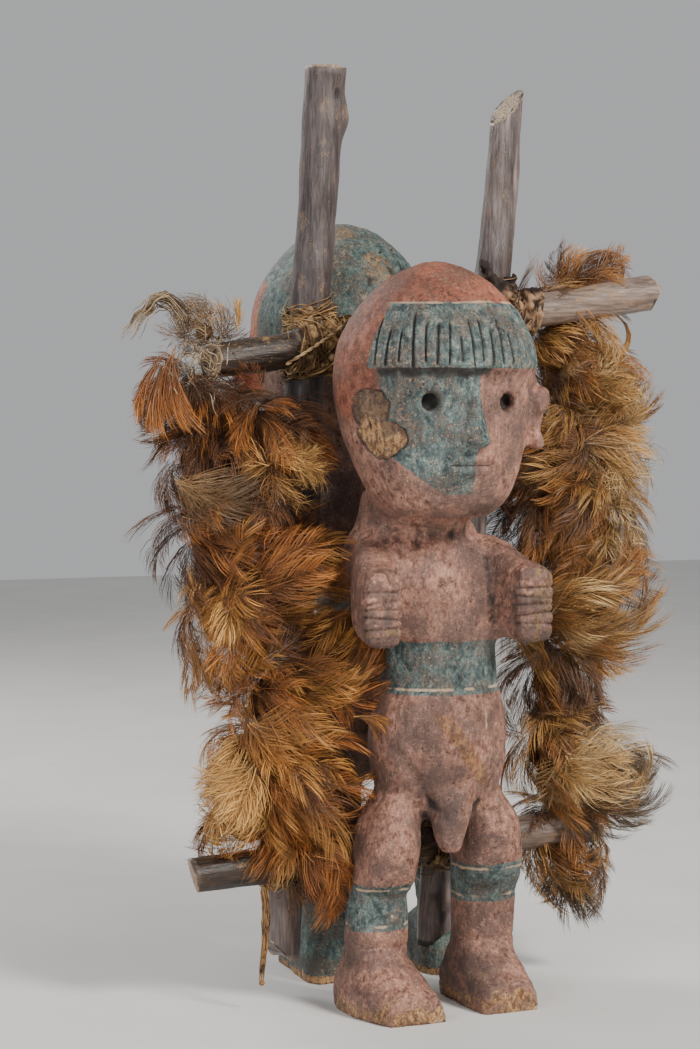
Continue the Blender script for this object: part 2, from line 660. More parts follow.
    # Knife facets, grain, pits and drying cracks
    pits = ease(0.72, 0.86, grained(0.0026, 2, 2))
    smooth_zone = 1.0 - 0.6 * ease(0.69, 0.71, z)
    depth += (grained((0.01, 0.01, 0.016), 0, 2) - 0.5) * 0.0017 * (0.45 + 0.55 * smooth_zone) \
        + (grained((0.0016, 0.0016, 0.016), 1) - 0.5) * 0.0006
    depth += (grained((0.0032, 0.0032, 0.018), 15, 2) - 0.5) * 0.0011 * smooth_zone \
        - pits * 0.0006 * (0.35 + 0.65 * smooth_zone)
    warped = points + 0.004 * wander_of(points, 0.02, seed + 7)
    crack_field = np.abs(layered(warped, (0.02, 0.02, 0.11), seed + 4, 2) - 0.5)
    cracks = ease(0.01, 0.002, crack_field) * ease(0.55, 0.7, noise(points, 0.045, seed + 12))
    depth -= cracks * CRACK_CUT

    # Toes and hands are worn back and splintered
    toe = ease(0.04, 0.03, z) * ease(-0.08, -0.1, y)
    ragged_z = z + 0.016 * (grained((0.003, 0.003, 0.006), 14, 2) - 0.5)
    sole = ease(shape["sole"], shape["sole"] * 0.55, ragged_z)
    splinter = grained((0.0022, 0.012, 0.0016), 13, 2)
    depth -= np.maximum(toe, sole) * (splinter - 0.3) * 0.0013 * ease(0.001, 0.01, z)

    push(figure, depth)
    bored = points_of(figure)
    bored[:, 1] += eyes * EYE_BORE
    bored[bored[:, 2] < SOLE_FLAT, 2] = 0.0
    set_points(figure, bored)

    # Where grooves gather dirt and edges lose their paint
    fine = grained(0.0045, 21)
    hollow = hollowness(figure, 3)
    hollow = (hollow - np.median(hollow)) * (0.002 / shape["voxel"]) ** 2
    dark = ease(0.00008, 0.00044, hollow)
    edge_wear = ease(0.00016, 0.00055, -hollow) * ease(0.38, 0.56, fine) * (1.0 - near_eyes)
    edge_wear *= 1.0 - window(z, 0.2, 0.21, 0.235, 0.25) * ease(0.05, 0.03, np.abs(belly + 0.013)) * before
    dark = np.maximum(dark * 0.75, ease(0.0004, 0.0022, hollowness(figure, 12, 2)) * 0.7)

    # Zones of paint and of bare wood
    body_noise = grained(0.018, 20)
    if male:
        left_end = -60.0 + (HAIRLINE - z) * -90.0
        band = window(z, FRINGE_LEVEL - 0.002, FRINGE_LEVEL + 0.001, HAIRLINE - 0.001, HAIRLINE + 0.001)
        band *= window(angle, left_end - 2.0, left_end + 2.0, 66.0, 72.0) * head
        under = face_front * ease(BROW_LEVEL - 0.003, BROW_LEVEL + 0.014, z + 0.008 * (fine - 0.5))
        under *= ease(FRINGE_LEVEL + 0.001, FRINGE_LEVEL - 0.001, z)
        chin_edge = 0.755 - (angle + 62.0) * 0.0014
        half_face = face_front * ease(-64.0, -58.0, angle) * ease(5.0, 1.0, angle + 6.0 * (fine - 0.5)) \
            * ease(chin_edge - 0.006, chin_edge + 0.006, z) * ease(FRINGE_LEVEL, FRINGE_LEVEL - 0.003, z)
        nose = face_front * ease(0.02, 0.014, np.abs(across)) * ease(NOSE_LOW - 0.012, NOSE_LOW, z) \
            * ease(-0.112, -0.124, y - middle[1])
        soot = 0.55 + 0.75 * grained(0.0035, 25)
        under *= ease(-66.0, -58.0, angle)
        dark = np.maximum(dark, under * soot * (0.85 - 0.45 * ease(5.0, 14.0, angle)))
        belt = window(z, BELT_LOW - 0.012, BELT_LOW - 0.006, BELT_HIGH - 0.001, BELT_HIGH + 0.001) \
            * ease(0.125, 0.11, np.abs(x - middle_at(0.47, line)[0])) * ease(-0.105, -0.095, y - y0)
        bands = window(z, band_low - 0.009, band_low - 0.005, band_high + 0.004, band_high + 0.01) * leg
        blue = np.maximum.reduce([band, half_face * 0.86, nose * 0.85, belt, bands])
        red = head * np.maximum.reduce([ease(HAIRLINE - 0.002, HAIRLINE + 0.002, z), ease(56.0, 66.0, -angle),
                                        ease(104.0, 116.0, angle)])
        red *= ease(0.73, 0.86, z + 0.05 * (body_noise - 0.5))
        red = red * (1.0 - blue)
        outer_face = hand_end * ease(0.101, 0.109, x - x0)
        inner_edge = hand_end * (x < x0) * bump_at(z, 0.521, 0.006)
        bare = np.maximum.reduce([
            scar, toe * ease(0.42, 0.62, fine), sole * (0.3 + 0.5 * fine),
            outer_face * ease(0.4, 0.56, fine) * 0.9, inner_edge * ease(0.4, 0.55, fine)])
    else:
        cap = head * ease(FRINGE_LEVEL - 0.004, FRINGE_LEVEL + 0.002, z)
        red = head * bump_at(angle, 84.0, 15.0) * ease(0.93, 0.915, z)
        sides = ease(HEAD_LEVEL - 0.06, HEAD_LEVEL - 0.02, z) * head * ease(60.0, 90.0, np.abs(angle))
        blue = np.maximum.reduce([
            np.maximum(cap, sides) * (1.0 - red), leg * ease(0.26, 0.22, z) * 0.8,
            face_front * ease(0.72, 0.735, z) * ease(-5.0, 5.0, angle) * 0.8,
            window(z, BELT_LOW - 0.006, BELT_LOW, BELT_HIGH - 0.001, BELT_HIGH + 0.001)])
        ragged = 0.9 * (grained(0.01, 30) - 0.5)
        crown_patch = np.hypot((toward_lens - 4.0) / 26.0, (z - 0.985) / 0.016)
        side_patch = np.hypot((toward_lens - 30.0) / 20.0, (z - 0.935) / 0.03)
        rubbed = ease(1.5, 0.6, np.minimum(crown_patch, side_patch) + ragged) * cap * 0.5
        nicks = bump_at((toward_lens - 24.0) % 3.4 - 1.7, 0.0, 0.55) * bump_at(z, 0.917, 0.01) * head
        nicks *= ease(9.0, 8.0, np.abs(toward_lens - 26.0))
        dark = np.maximum(dark, nicks * 0.9)
        streak = bump_at(angle, 92.0, 5.0) * ease(0.905, 0.895, z) * head * 0.6
        bare = np.maximum.reduce([rubbed, streak, toe * 0.6, sole * 0.7])
    ochre_x = middle_at(0.36, line)[0] + 0.016 - (z - 0.34) * 0.75
    ochre = bump_at(x, ochre_x, 0.015) * ease(0.285, 0.325, z) * ease(0.425, 0.395, z)
    ochre *= ease(0.0, -0.04, y - y0)
    paint_layer(figure, "zones", blue, red, bare, ochre)

    # Wear: dark dirt, pale lines, drift of tone and the stain of handling
    broken = 0.52 + 0.7 * ease(0.25, 0.65, noise(points, 0.006, seed + 51))
    crusted = head * bump_at(z, shape["hairline"] - 0.004, 0.012) * ease(reach, reach - 8.0, np.abs(angle))
    pale = np.maximum.reduce([
        hairline, line_low * 0.9 * broken, band_lines * 0.85 * broken, crease * 0.5 * broken, edge_wear * 0.8,
        pad_rim * ease(0.026, 0.032, belly), head * blue * ease(0.52, 0.66, grained(0.0032, 23)) * 0.55,
        crusted * ease(0.5, 0.62, grained(0.004, 26)) * 0.55])
    dark = np.maximum.reduce([
        dark, grooves, slit * 0.9, eyes, fingers * 0.8, split, cracks * 0.8, scar_rim * 0.8])
    stain = window(z, 0.225, 0.26, 0.33, 0.375) * ease(0.06, 0.005, np.abs(belly + 0.026)) * before
    handled = hand_end * (ease(0.35, 0.6, fine) * 0.75 + ease(0.52, 0.51, z))
    handled += stain * (0.25 + 0.75 * grained(0.01, 27))
    handled += 0.6 * ease(0.14, 0.06, z) * ease(0.42, 0.62, grained(0.012, 28)) * (1.0 - bare)
    handled += scar * ease(0.4, 0.62, grained(0.01, 24) + 0.25 * (z - 0.79) / 0.03)
    paint_layer(figure, "wear", dark, pale, body_noise, handled)

    turn_matrix = np.array(Matrix.Rotation(math.radians(shape["turn"]), 3, "Z"))
    set_points(figure, points_of(figure) @ turn_matrix.T + np.array((*shape["place"], 0.0)) + MOVE)
    hand_over(figure, material, shape["name"])


# Sticks

def upright_x(side, height):
    """Sideways place of an upright at a height; both bend at their kinks, and the left one leans below it."""
    if side == "left":
        return (LEFT_FOOT_X + LEFT_LEAN * (height - UPRIGHT_BOTTOM)
                + LEFT_BEND * np.maximum(0.0, height - LEFT_KINK))
    return RIGHT_FOOT_X + RIGHT_LEAN * np.maximum(0.0, height - RIGHT_KINK)


def upright_axis(side, bottom, top, count):
    height = np.linspace(bottom, top, count)
    wander = 0.0008 * np.sin(9.0 * 1.9 * (height - bottom) / (top - bottom))
    return np.stack([upright_x(side, height) + wander, np.full(count, UPRIGHT_DEPTH), height], 1)


def cross_z(x, line):
    """Height of a cross stick at x; a line is its height at the left upright and its rise."""
    level, rise = line
    return level + rise * (x - upright_x("left", level))


def cross_axis(start, length, line, count):
    x = np.linspace(start, start + length, count)
    return np.stack([x, np.full(count, CROSS_DEPTH), cross_z(x, line)], 1)


def build_stick(node, kind, axis, radius, swell, cuts, bumps, seed, gloom):
    """A peeled stick with slanted knife-cut ends, ridges, scars and knots, marked for its material."""
    ending, slot, material, up = kind
    sides, rings = 44, len(axis)
    tangent = unit(np.gradient(axis, axis=0))
    u = unit(np.cross(tangent, np.asarray(up, float)))
    v = np.cross(tangent, u)
    angles = 2.0 * np.pi * np.arange(sides) / sides
    along = np.linspace(0.0, 1.0, rings)
    thick = np.interp(along, np.linspace(0.0, 1.0, len(swell)), swell) * radius
    span = np.linalg.norm(axis[-1] - axis[0])
    ring_dir = np.cos(angles)[None, :, None] * u[:, None, :] + np.sin(angles)[None, :, None] * v[:, None, :]
    flat = (axis[:, None, :] + ring_dir * radius).reshape(-1, 3)
    length_dir = tangent.mean(0)
    stretch = flat + length_dir * (flat @ length_dir)[:, None] * -0.86
    ridges, form, fine = ((layered(place, size, seed + k, layers) - 0.5).reshape(rings, sides)
                          for k, (place, size, layers) in enumerate(
                              ((stretch, 0.003, 3), (flat, 0.028, 2), (stretch, 0.0011, 2))))
    relief = form * 0.0022 + ridges * 0.0011 + fine * 0.0004
    for place, bearing, size, reach, amount in bumps:
        turn = np.abs((np.degrees(angles)[None, :] - bearing + 180.0) % 360.0 - 180.0)
        relief += np.exp(-((along[:, None] - place) * span / size) ** 2 - (turn / reach) ** 2) * amount
    grid = axis[:, None, :] + ring_dir * (thick[:, None] + relief)[:, :, None]
    planes = [(np.asarray(point, float), np.asarray(normal, float) / np.linalg.norm(normal))
              for point, normal in cuts]
    for point, normal in planes:
        beyond = np.einsum("ijk,k->ij", grid - point, normal)
        slide = beyond / (tangent @ normal)[:, None]
        grid = np.where((beyond > 0.0)[:, :, None], grid - tangent[:, None, :] * slide[:, :, None], grid)
    rows = list(grid)
    for end, outward in ((0, -length_dir), (-1, length_dir)):
        rim = rows[end].copy()
        centre = rim.mean(0)
        for share in (0.8, 0.52, 0.22):
            ring = centre + (rim - centre) * share
            wobble = (noise(ring, 0.003, seed + 5) - 0.5)[:, None] * 0.0007
            rows.insert(len(rows) if end else 0, ring + wobble * outward)
    verts, faces = closed_tube(rows)
    stick = mesh_object(node + ending, verts + MOVE, faces)
    weld(stick, 0.00002)

    # Marks of cut faces, hollows and the darker stretches
    points = points_of(stick)
    cut = np.zeros(len(points))
    for point, normal in planes:
        cut = np.maximum(cut, ease(-0.0006, -0.0001, (points - MOVE - point) @ normal))
    hollow = hollowness(stick, 2)
    hollow -= np.median(hollow)
    shade = gloom(points - MOVE) + 0.5 * (layered(points, 0.022, 71, 3) - 0.5)
    paint_layer(stick, "marks", cut, ease(0.00003, 0.0002, hollow), ease(0.00004, 0.00022, -hollow), shade)
    hand_over(stick, material, node)


# Feathers: curved shafts that carry hair-fine barbs, laid over a bound core

PALETTE = {  # colours at the base, the middle and the tip
    "rust": ((0.075, 0.033, 0.014), (0.25, 0.09, 0.02), (0.5, 0.23, 0.065)),
    "dark": ((0.028, 0.012, 0.007), (0.08, 0.028, 0.01), (0.2, 0.078, 0.024)),
    "tan": ((0.13, 0.062, 0.024), (0.36, 0.175, 0.046), (0.6, 0.36, 0.135)),
    "cream": ((0.34, 0.2, 0.085), (0.58, 0.38, 0.175), (0.75, 0.56, 0.32)),
    "grey": ((0.07, 0.044, 0.028), (0.16, 0.105, 0.068), (0.36, 0.26, 0.17)),
    "smoke": ((0.22, 0.145, 0.085), (0.1, 0.066, 0.048), (0.07, 0.052, 0.043)),
    "rose": ((0.34, 0.17, 0.07), (0.42, 0.155, 0.065), (0.34, 0.14, 0.075)),
}
MATES = {  # colours that mix into a lobe of each colour
    "rust": ("tan", "dark", "tan"), "tan": ("rust", "cream", "rust"), "dark": ("rust", "dark", "rust"),
    "cream": ("tan", "cream", "tan"), "grey": ("tan", "dark", "grey"), "smoke": ("smoke", "grey", "tan"),
}
FLUFFS = {"cream": 0.62, "grey": 0.65}
SHAFT_STEPS = 11
SHAFT_REACH = 1.3  # the line of a shaft is followed past its tip, for the barbs that run beyond it
BARBS = 38
BARB_HALF = 0.00018
FEATHER_DENSITY = 50.5
GOLDEN_TURN = 2.39996
THIN_LOBE = 0.0175  # up to this radius a lobe has only a thin core
ROPE_VOXEL = 0.0034
LASHING_VOXEL = 0.0013
FEATHER_FLOOR = 0.004
TO_CAMERA = np.array((-0.42, -0.9, 0.06))


def turned(v, axis, angle):
    """Rotates rows of v round rows of axis by rows of angle."""
    c, s = np.cos(angle)[..., None], np.sin(angle)[..., None]
    dot = np.einsum("...i,...i->...", v, axis)[..., None]
    return v * c + np.cross(axis, v) * s + axis * dot * (1.0 - c)


def grow(roots, heads, flats, lengths, curls, swirls, widths, fluffs, colours, rng):
    """Feathers from arrays of roots, headings and flat sides: points, triangles and point colours.

    A curl bends the shaft towards its flat side and a swirl bends it sideways."""
    count = len(roots)
    heads = unit(heads)
    flats = unit(flats - heads * np.einsum("ij,ij->i", flats, heads)[:, None])
    shaft, ahead, up = (np.zeros((count, SHAFT_STEPS, 3)) for _ in range(3))
    place, step = np.array(roots), SHAFT_REACH / (SHAFT_STEPS - 1)
    lengths = lengths * 0.86
    for k in range(SHAFT_STEPS):
        shaft[:, k], ahead[:, k], up[:, k] = place, heads, flats
        place = place + heads * (lengths * step)[:, None]
        side = np.cross(heads, flats)
        heads, flats = turned(heads, side, curls * step), turned(flats, side, curls * step)
        heads = turned(heads, flats, swirls * step)
    low, mid, tip = colours
    rows = np.arange(count)[:, None]
    points, faces, shades, start = [], [], [], 0

    # Shaft: a ribbon that narrows to the tip
    side = np.cross(ahead, up)
    inner = int((SHAFT_STEPS - 1) / SHAFT_REACH)
    half = np.linspace(0.00026, 0.00004, inner)[None, :, None]
    ribbon, edge = shaft[:, :inner], side[:, :inner] * half
    ribbon = np.stack([ribbon - edge, ribbon + edge], 2).reshape(-1, 3)
    quill = np.linspace(0.7, 0.0, inner)[None, :, None] ** 2.5
    shade = mid[:, None, :] * (1.0 - quill) + (low[:, None, :] * 0.5 + np.array((0.26, 0.19, 0.11))) * quill
    first = (rows * inner + np.arange(inner - 1)[None, :]) * 2
    faces.append(np.stack([first, first + 1, first + 3, first, first + 3, first + 2], -1).reshape(-1, 3))
    points.append(ribbon)
    shades.append(np.repeat(shade, 2, 1).reshape(-1, 3))
    start += len(ribbon)

    def on_shaft(values, t):
        spot = np.clip(t / SHAFT_REACH, 0.0, 0.9999) * (SHAFT_STEPS - 1)
        index = spot.astype(int)
        part = (spot - index)[..., None]
        return values[rows, index] * (1.0 - part) + values[rows, index + 1] * part

    # Barbs: long hairs that leave the shaft and then run along with it
    fluff = fluffs[:, None]
    for sign in (-1.0, 1.0):
        at = np.linspace(0.0, 0.84, BARBS)[None, :] + rng.uniform(-0.5, 0.5, (count, BARBS)) / BARBS
        at = np.clip(at, 0.0, 0.86)
        phase = rng.uniform(0.0, 6.28, (count, 1))
        clump = np.sin(at * 13.0 + phase) + 0.6 * np.sin(at * 27.0 + 2.0 * phase)
        run = (0.36 + 0.42 * (1.0 - at)) * rng.uniform(0.85, 1.08, at.shape) * (1.0 - 0.25 * fluff)
        reach = widths[:, None] * np.clip(1.0 - at, 0.0, 1.0) ** 0.55 * rng.uniform(0.72, 1.12, at.shape)
        reach = reach * (1.0 + 0.1 * clump) * (1.0 + 0.35 * fluff)
        cup = rng.uniform(-0.3, 0.05, (count, 1)) + 0.06 * clump
        lie = [on_shaft(shaft, at)]
        stray = rng.normal(0.0, 1.0, at.shape + (3,)) * (0.0006 + 0.003 * fluff[..., None])
        sway = rng.normal(0.0, 1.0, at.shape + (3,)) * (0.0004 + 0.0028 * fluff[..., None])
        for step_on, aside in ((0.34, 0.54), (0.68, 0.88), (1.0, 1.0)):
            t = at + run * step_on
            top = on_shaft(up, t)
            out = np.cross(on_shaft(ahead, t), top) * sign
            lateral = (reach * aside)[..., None]
            lie.append(on_shaft(shaft, t) + out * lateral + top * lateral * cup[..., None] * aside
                       + stray * step_on + sway * (step_on * (1.2 - step_on)) * 2.0)
        foot, p1, p2, p3 = lie
        top = on_shaft(up, at + run * 0.5)
        roll = rng.normal(0.0, 0.55, at.shape)
        width = BARB_HALF * (1.0 - 0.42 * fluff)[..., None] * rng.uniform(0.65, 1.3, at.shape)[..., None]
        a1, a2 = (unit(turned(unit(np.cross(way, top)), unit(way), roll)) * width
                  for way in (p2 - foot, p3 - p1))
        a2 = a2 * 0.85
        barb = np.stack([foot, p1 - a1, p1 + a1, p2 - a2, p2 + a2, p3], 2)
        along = np.array((0.0, 0.33, 0.33, 0.67, 0.67, 1.0))[None, None, :]
        blend = np.clip(at[..., None] * 0.45 + along * 0.6, 0.0, 1.0)[..., None]
        tone = np.where(blend < 0.5, low[:, None, None] + (mid - low)[:, None, None] * blend * 2.0,
                        mid[:, None, None] + (tip - mid)[:, None, None] * (blend * 2.0 - 1.0))
        lustre = rng.uniform(0.55, 1.3, at.shape) * np.where(rng.random(at.shape) < 0.08, 1.6, 1.0)
        tone = tone * lustre[..., None, None]
        block = barb.reshape(-1, 3)
        base = (np.arange(count * BARBS) * 6)[:, None, None]
        pattern = np.array([[0, 2, 1], [1, 2, 4], [1, 4, 3], [3, 4, 5]])[None]
        points.append(block)
        shades.append(tone.reshape(-1, 3))
        faces.append((base + pattern).reshape(-1, 3) + start)
        start += len(block)
    return np.vstack(points), np.vstack(faces), np.vstack(shades)


def tinted(names, rng):
    """Three colour arrays for named palettes, each feather a little lighter or darker."""
    shift = rng.uniform(0.75, 1.22, (len(names), 1))
    return tuple(np.array([PALETTE[name][k] for name in names]) * shift for k in range(3))


def dress_lobe(centre, radius, palette, sweep, rng):
    """Feathers laid over one lobe, most of them flowing along its sweep."""
    count = int(FEATHER_DENSITY * (radius / 0.025) ** 1.6)
    k = np.arange(count) + 0.5
    level = 1.0 - 2.0 * k / count
    rim = np.sqrt(1.0 - level ** 2)
    normal = np.stack([rim * np.cos(k * GOLDEN_TURN), rim * np.sin(k * GOLDEN_TURN), level], 1)
    normal = unit(normal + rng.normal(0.0, 0.15, (count, 3)))
    sweep = unit(np.asarray(sweep, float))
    normal = unit(normal + sweep * (normal @ sweep)[:, None] * 0.35)
    around = centre + normal * radius
    flow = sweep + wander_of(around, 0.024, 60) * 1.5
    flow = flow - normal * np.einsum("ij,ij->i", flow, normal)[:, None]
    flow = unit(flow + rng.normal(0.0, 0.09, (count, 3)))
    lifted = rng.uniform(0.02, 0.42, count)
    loose = rng.random(count) < 0.06
    lifted = np.where(loose, rng.uniform(0.3, 0.7, count), lifted)
    lengths = (0.012 + radius * rng.uniform(0.85, 1.6, count)) * np.where(loose, 0.85, 1.0)
    stretch = 0.86 + 0.42 * (normal @ sweep) ** 2
    depth = radius * rng.uniform(0.6, 1.0, count) * stretch
    back = np.minimum(0.42 * lengths / depth, 1.1)[:, None]
    roots = centre + (normal * np.cos(back) - flow * np.sin(back)) * depth[:, None]
    heads = flow * np.cos(back) + normal * np.sin(back)
    flats = normal * np.cos(back) - flow * np.sin(back)
    curls = -lengths / depth * np.where(loose, rng.uniform(0.0, 0.6, count), rng.uniform(0.25, 0.8, count))
    swirls = rng.normal(0.0, 0.45, count)
    widths = (0.005 + radius * 0.22) * rng.uniform(0.8, 1.3, count)
    fluffs = np.clip(rng.normal(FLUFFS.get(palette, 0.16), 0.14, count), 0.0, 1.0)
    names = [palette if rng.random() < 0.5 else MATES[palette][rng.integers(0, 3)] for _ in range(count)]
    return grow(roots, heads + flats * lifted[:, None], flats + rng.normal(0.0, 0.18, (count, 3)), lengths,
                curls, swirls, widths, fluffs, tinted(names, rng), rng)


def fan(root, heading, spread, count, length, width, palette, curl, swirl, fluff, rng):
    """Feathers from one place that open like a hand, their flat sides towards the front."""
    turn = np.linspace(-0.5, 0.5, count) * math.radians(spread) if count > 1 else np.zeros(1)
    facing = unit(TO_CAMERA)
    heads = turned(np.tile(unit(np.asarray(heading, float)), (count, 1)), np.tile(facing, (count, 1)), turn)
    heads = heads + rng.normal(0.0, 0.06, (count, 3))
    roots = np.asarray(root, float) + MOVE + rng.normal(0.0, 0.0016, (count, 3))
    roots = roots + facing * np.linspace(0.0, 0.004, count)[:, None]
    return grow(roots, heads, np.tile(facing, (count, 1)) + rng.normal(0.0, 0.1, (count, 3)),
                length * rng.uniform(0.88, 1.1, count), np.full(count, curl) + rng.normal(0.0, 0.15, count),
                np.full(count, swirl) + rng.normal(0.0, 0.15, count), width * rng.uniform(0.9, 1.1, count),
                np.full(count, fluff), tinted([palette] * count, rng), rng)


# Each lobe: share of the rope's height, sideways, backward and radius, all in thousandths, then its palette
# and its sweep in tenths. Each fan: root, heading, spread in degrees, count of feathers, their length and
# half width, palette, curl, swirl and fluff
LEFT_LOBES = (
    (1050, -14, 18, 13, "grey", -6, -2, 3), (915, -36, 10, 15, "dark", -6, -2, -8),
    (860, -6, 12, 24, "dark", 3, -3, -7), (860, 12, -14, 18, "dark", 5, -1, -6),
    (780, -18, 2, 21, "dark", -3, -2, -9), (720, 0, 0, 24, "dark", 6, -2, -8),
    (795, 15, -26, 11.5, "cream", 8, -2, -2), (620, -12, -2, 24, "dark", 6, -1, -7),
    (560, 10, -15, 27, "rust", 9.5, -1, 3.5), (490, -8, -2, 23, "tan", -4, -2, -8),
    (405, 34, -20, 23, "rust", 9, -1, 2), (330, 16, -10, 24, "rust", 8, -1, -5),
    (215, 4, 0, 21, "tan", -3, -1, -9), (138, 3, 0, 18, "cream", -7, -1, -5),
    (175, 30, -14, 24, "rust", 7, -1, -6), (90, 6, 8, 18, "tan", -4, -3, -5),
    (15, 36, -12, 18, "rust", 5, -1, -9), (150, 50, 8, 13, "dark", 3, -1, -9),
)
LEFT_FANS = (
    ((-0.1085, -0.036, 0.212), (0.92, 0.0, 0.2), 82, 13, 0.064, 0.018, "rust", -0.35, 0.1, 0.03),
    ((-0.088, -0.044, 0.188), (1.0, 0.0, 0.1), 60, 6, 0.046, 0.014, "dark", -0.3, 0.15, 0.05),
    ((-0.07, -0.04, 0.185), (0.95, 0.0, -0.15), 50, 4, 0.03, 0.01, "cream", -0.1, 0.1, 0.5),
    ((-0.13, -0.03, 0.282), (0.8, 0.0, -0.6), 40, 7, 0.052, 0.013, "smoke", -0.25, 0.75, 0.05),
    ((-0.128, -0.028, 0.262), (0.8, 0.0, -0.45), 34, 6, 0.05, 0.013, "rust", -0.25, 0.55, 0.05),
    ((-0.1285, -0.018, 0.347), (-0.48, 0.0, -0.86), 32, 8, 0.043, 0.0024, "rust", -0.1, 0.75, 0.1),
    ((-0.118, -0.022, 0.336), (0.45, 0.0, -0.8), 60, 6, 0.038, 0.012, "dark", -0.3, -0.5, 0.1),
    ((-0.0915, -0.012, 0.36), (0.02, 0.0, 1.0), 10, 1, 0.018, 0.0016, "cream", 0.0, 0.0, 0.2),
    ((-0.072, -0.046, 0.291), (1.0, 0.0, 0.1), 110, 6, 0.016, 0.0022, "cream", 0.0, 0.1, 0.35),
    ((-0.041, -0.045, 0.159), (0.95, -0.6, 0.1), 8, 2, 0.04, 0.0042, "tan", 0.1, -1.9, 0.05),
    ((-0.066, -0.038, 0.088), (0.58, 0.0, -0.8), 10, 2, 0.046, 0.0125, "rose", -0.1, 0.1, 0.0),
    ((-0.084, -0.04, 0.122), (0.75, 0.0, -0.55), 56, 6, 0.042, 0.012, "rust", -0.3, 0.45, 0.1),
    ((-0.093, -0.034, 0.134), (-0.66, 0.0, -0.75), 56, 7, 0.03, 0.011, "cream", -0.25, -0.25, 0.45),
    ((-0.095, -0.042, 0.158), (0.62, 0.0, -0.6), 70, 6, 0.04, 0.012, "tan", -0.3, 0.5, 0.25),
    ((-0.096, -0.034, 0.224), (-0.62, 0.0, -0.75), 46, 7, 0.028, 0.011, "tan", -0.3, 0.35, 0.25),
)
RIGHT_LOBES = (
    (1045, 12, 22, 16, "rust", 9, -2, 3), (920, -4, 16, 24, "rust", 5, -2, -8),
    (835, 12, 8, 22, "tan", 8, -1, -5), (800, 18, -4, 12, "cream", 9, -2, 3),
    (725, -12, 6, 24, "rust", -5, -2, -8), (690, -26, 12, 18, "dark", -7, -2, -6),
    (580, -24, 12, 16, "dark", -6, -2, -8), (690, 12, 2, 20, "cream", 7, -2, -6),
    (590, 0, 6, 26, "rust", -6, -1, -7), (560, 17, 0, 15, "cream", 6, -2, -7),
    (435, -2, 4, 31, "tan", 9, -1, 3), (290, -12, 6, 22, "dark", 2, -2, -9),
    (150, -16, 2, 23, "tan", 5, -2, -6), (110, 2, -4, 22, "cream", 8, -2, -2),
    (65, 15, -2, 20, "smoke", 9, -1, 2), (-25, -10, 6, 22, "rust", 1, -2, -9),
    (-90, -2, 0, 12, "smoke", 3, -2, -9),
)
RIGHT_FANS = (
    ((0.104, -0.02, 0.342), (0.85, 0.0, -0.25), 70, 8, 0.046, 0.014, "rust", -0.3, -0.7, 0.1),
    ((0.108, -0.022, 0.3), (0.9, 0.0, 0.05), 70, 8, 0.042, 0.013, "tan", -0.3, -0.6, 0.15),
    ((0.114, -0.018, 0.272), (-0.65, 0.0, -0.6), 60, 6, 0.04, 0.012, "rust", -0.3, 0.5, 0.1),
    ((0.09, -0.024, 0.205), (0.92, 0.0, 0.3), 76, 10, 0.052, 0.015, "rust", -0.3, -0.55, 0.08),
    ((0.1, -0.024, 0.188), (0.92, 0.0, -0.2), 60, 7, 0.046, 0.013, "tan", -0.3, 0.4, 0.12),
    ((0.102, -0.022, 0.165), (0.25, 0.0, -0.95), 60, 6, 0.034, 0.01, "dark", -0.3, 0.3, 0.15),
    ((0.096, -0.032, 0.128), (0.45, 0.0, -0.7), 110, 9, 0.034, 0.011, "cream", -0.2, 0.2, 0.55),
    ((0.118, -0.012, 0.097), (0.97, 0.0, 0.22), 74, 9, 0.038, 0.008, "smoke", 0.05, 0.1, 0.05),
    ((0.106, -0.01, 0.072), (0.28, 0.0, -0.95), 26, 4, 0.044, 0.009, "smoke", 0.0, 0.1, 0.1),
    ((0.108, 0.006, 0.378), (0.8, 0.0, 0.6), 44, 8, 0.048, 0.012, "rust", -0.2, -0.9, 0.1),
    ((0.144, -0.004, 0.372), (0.85, 0.0, -0.4), 8, 1, 0.034, 0.0012, "tan", 0.0, -2.0, 0.0),
    ((0.136, -0.006, 0.309), (0.85, 0.0, 0.4), 34, 4, 0.034, 0.0045, "tan", 0.0, 1.7, 0.05),
    ((0.12, -0.02, 0.33), (0.6, 0.0, 0.7), 80, 6, 0.026, 0.006, "cream", -0.1, -0.4, 0.7),
)
LEFT_ROPE_X = -0.088
RIGHT_ROPE_X = 0.116


def rope_core(name, centres, radii):
    """The bound inner body of a rope, which keeps daylight out of it."""
    balls = []
    for centre, radius in zip(centres, radii):
        share = 0.64 if radius > THIN_LOBE else 0.4
        balls.append(ball_shape(centre, (radius * share,) * 3, 16, 10))
    core = mesh_object(name, *joined(balls))
    fuse(core, ROPE_VOXEL)
    push(core, (layered(points_of(core), (0.005, 0.005, 0.009), 5, 2) - 0.5) * 0.005)
    return core


def feather_piece(name, parts, material, node):
    start, faces = 0, []
    for points, triangles, _ in parts:
        faces.append(triangles + start)
        start += len(points)
    verts, shades = (np.vstack([part[k] for part in parts]) for k in (0, 2))
    verts[:, 2] = np.maximum(verts[:, 2], FEATHER_FLOOR)
    piece = triangle_object(name, verts, np.vstack(faces))
    layer = piece.data.color_attributes.new("tint", "FLOAT_COLOR", "POINT")
    layer.data.foreach_set("color", np.concatenate([shades, np.ones((len(shades), 1))], 1).ravel())
    hand_over(piece, material, node)


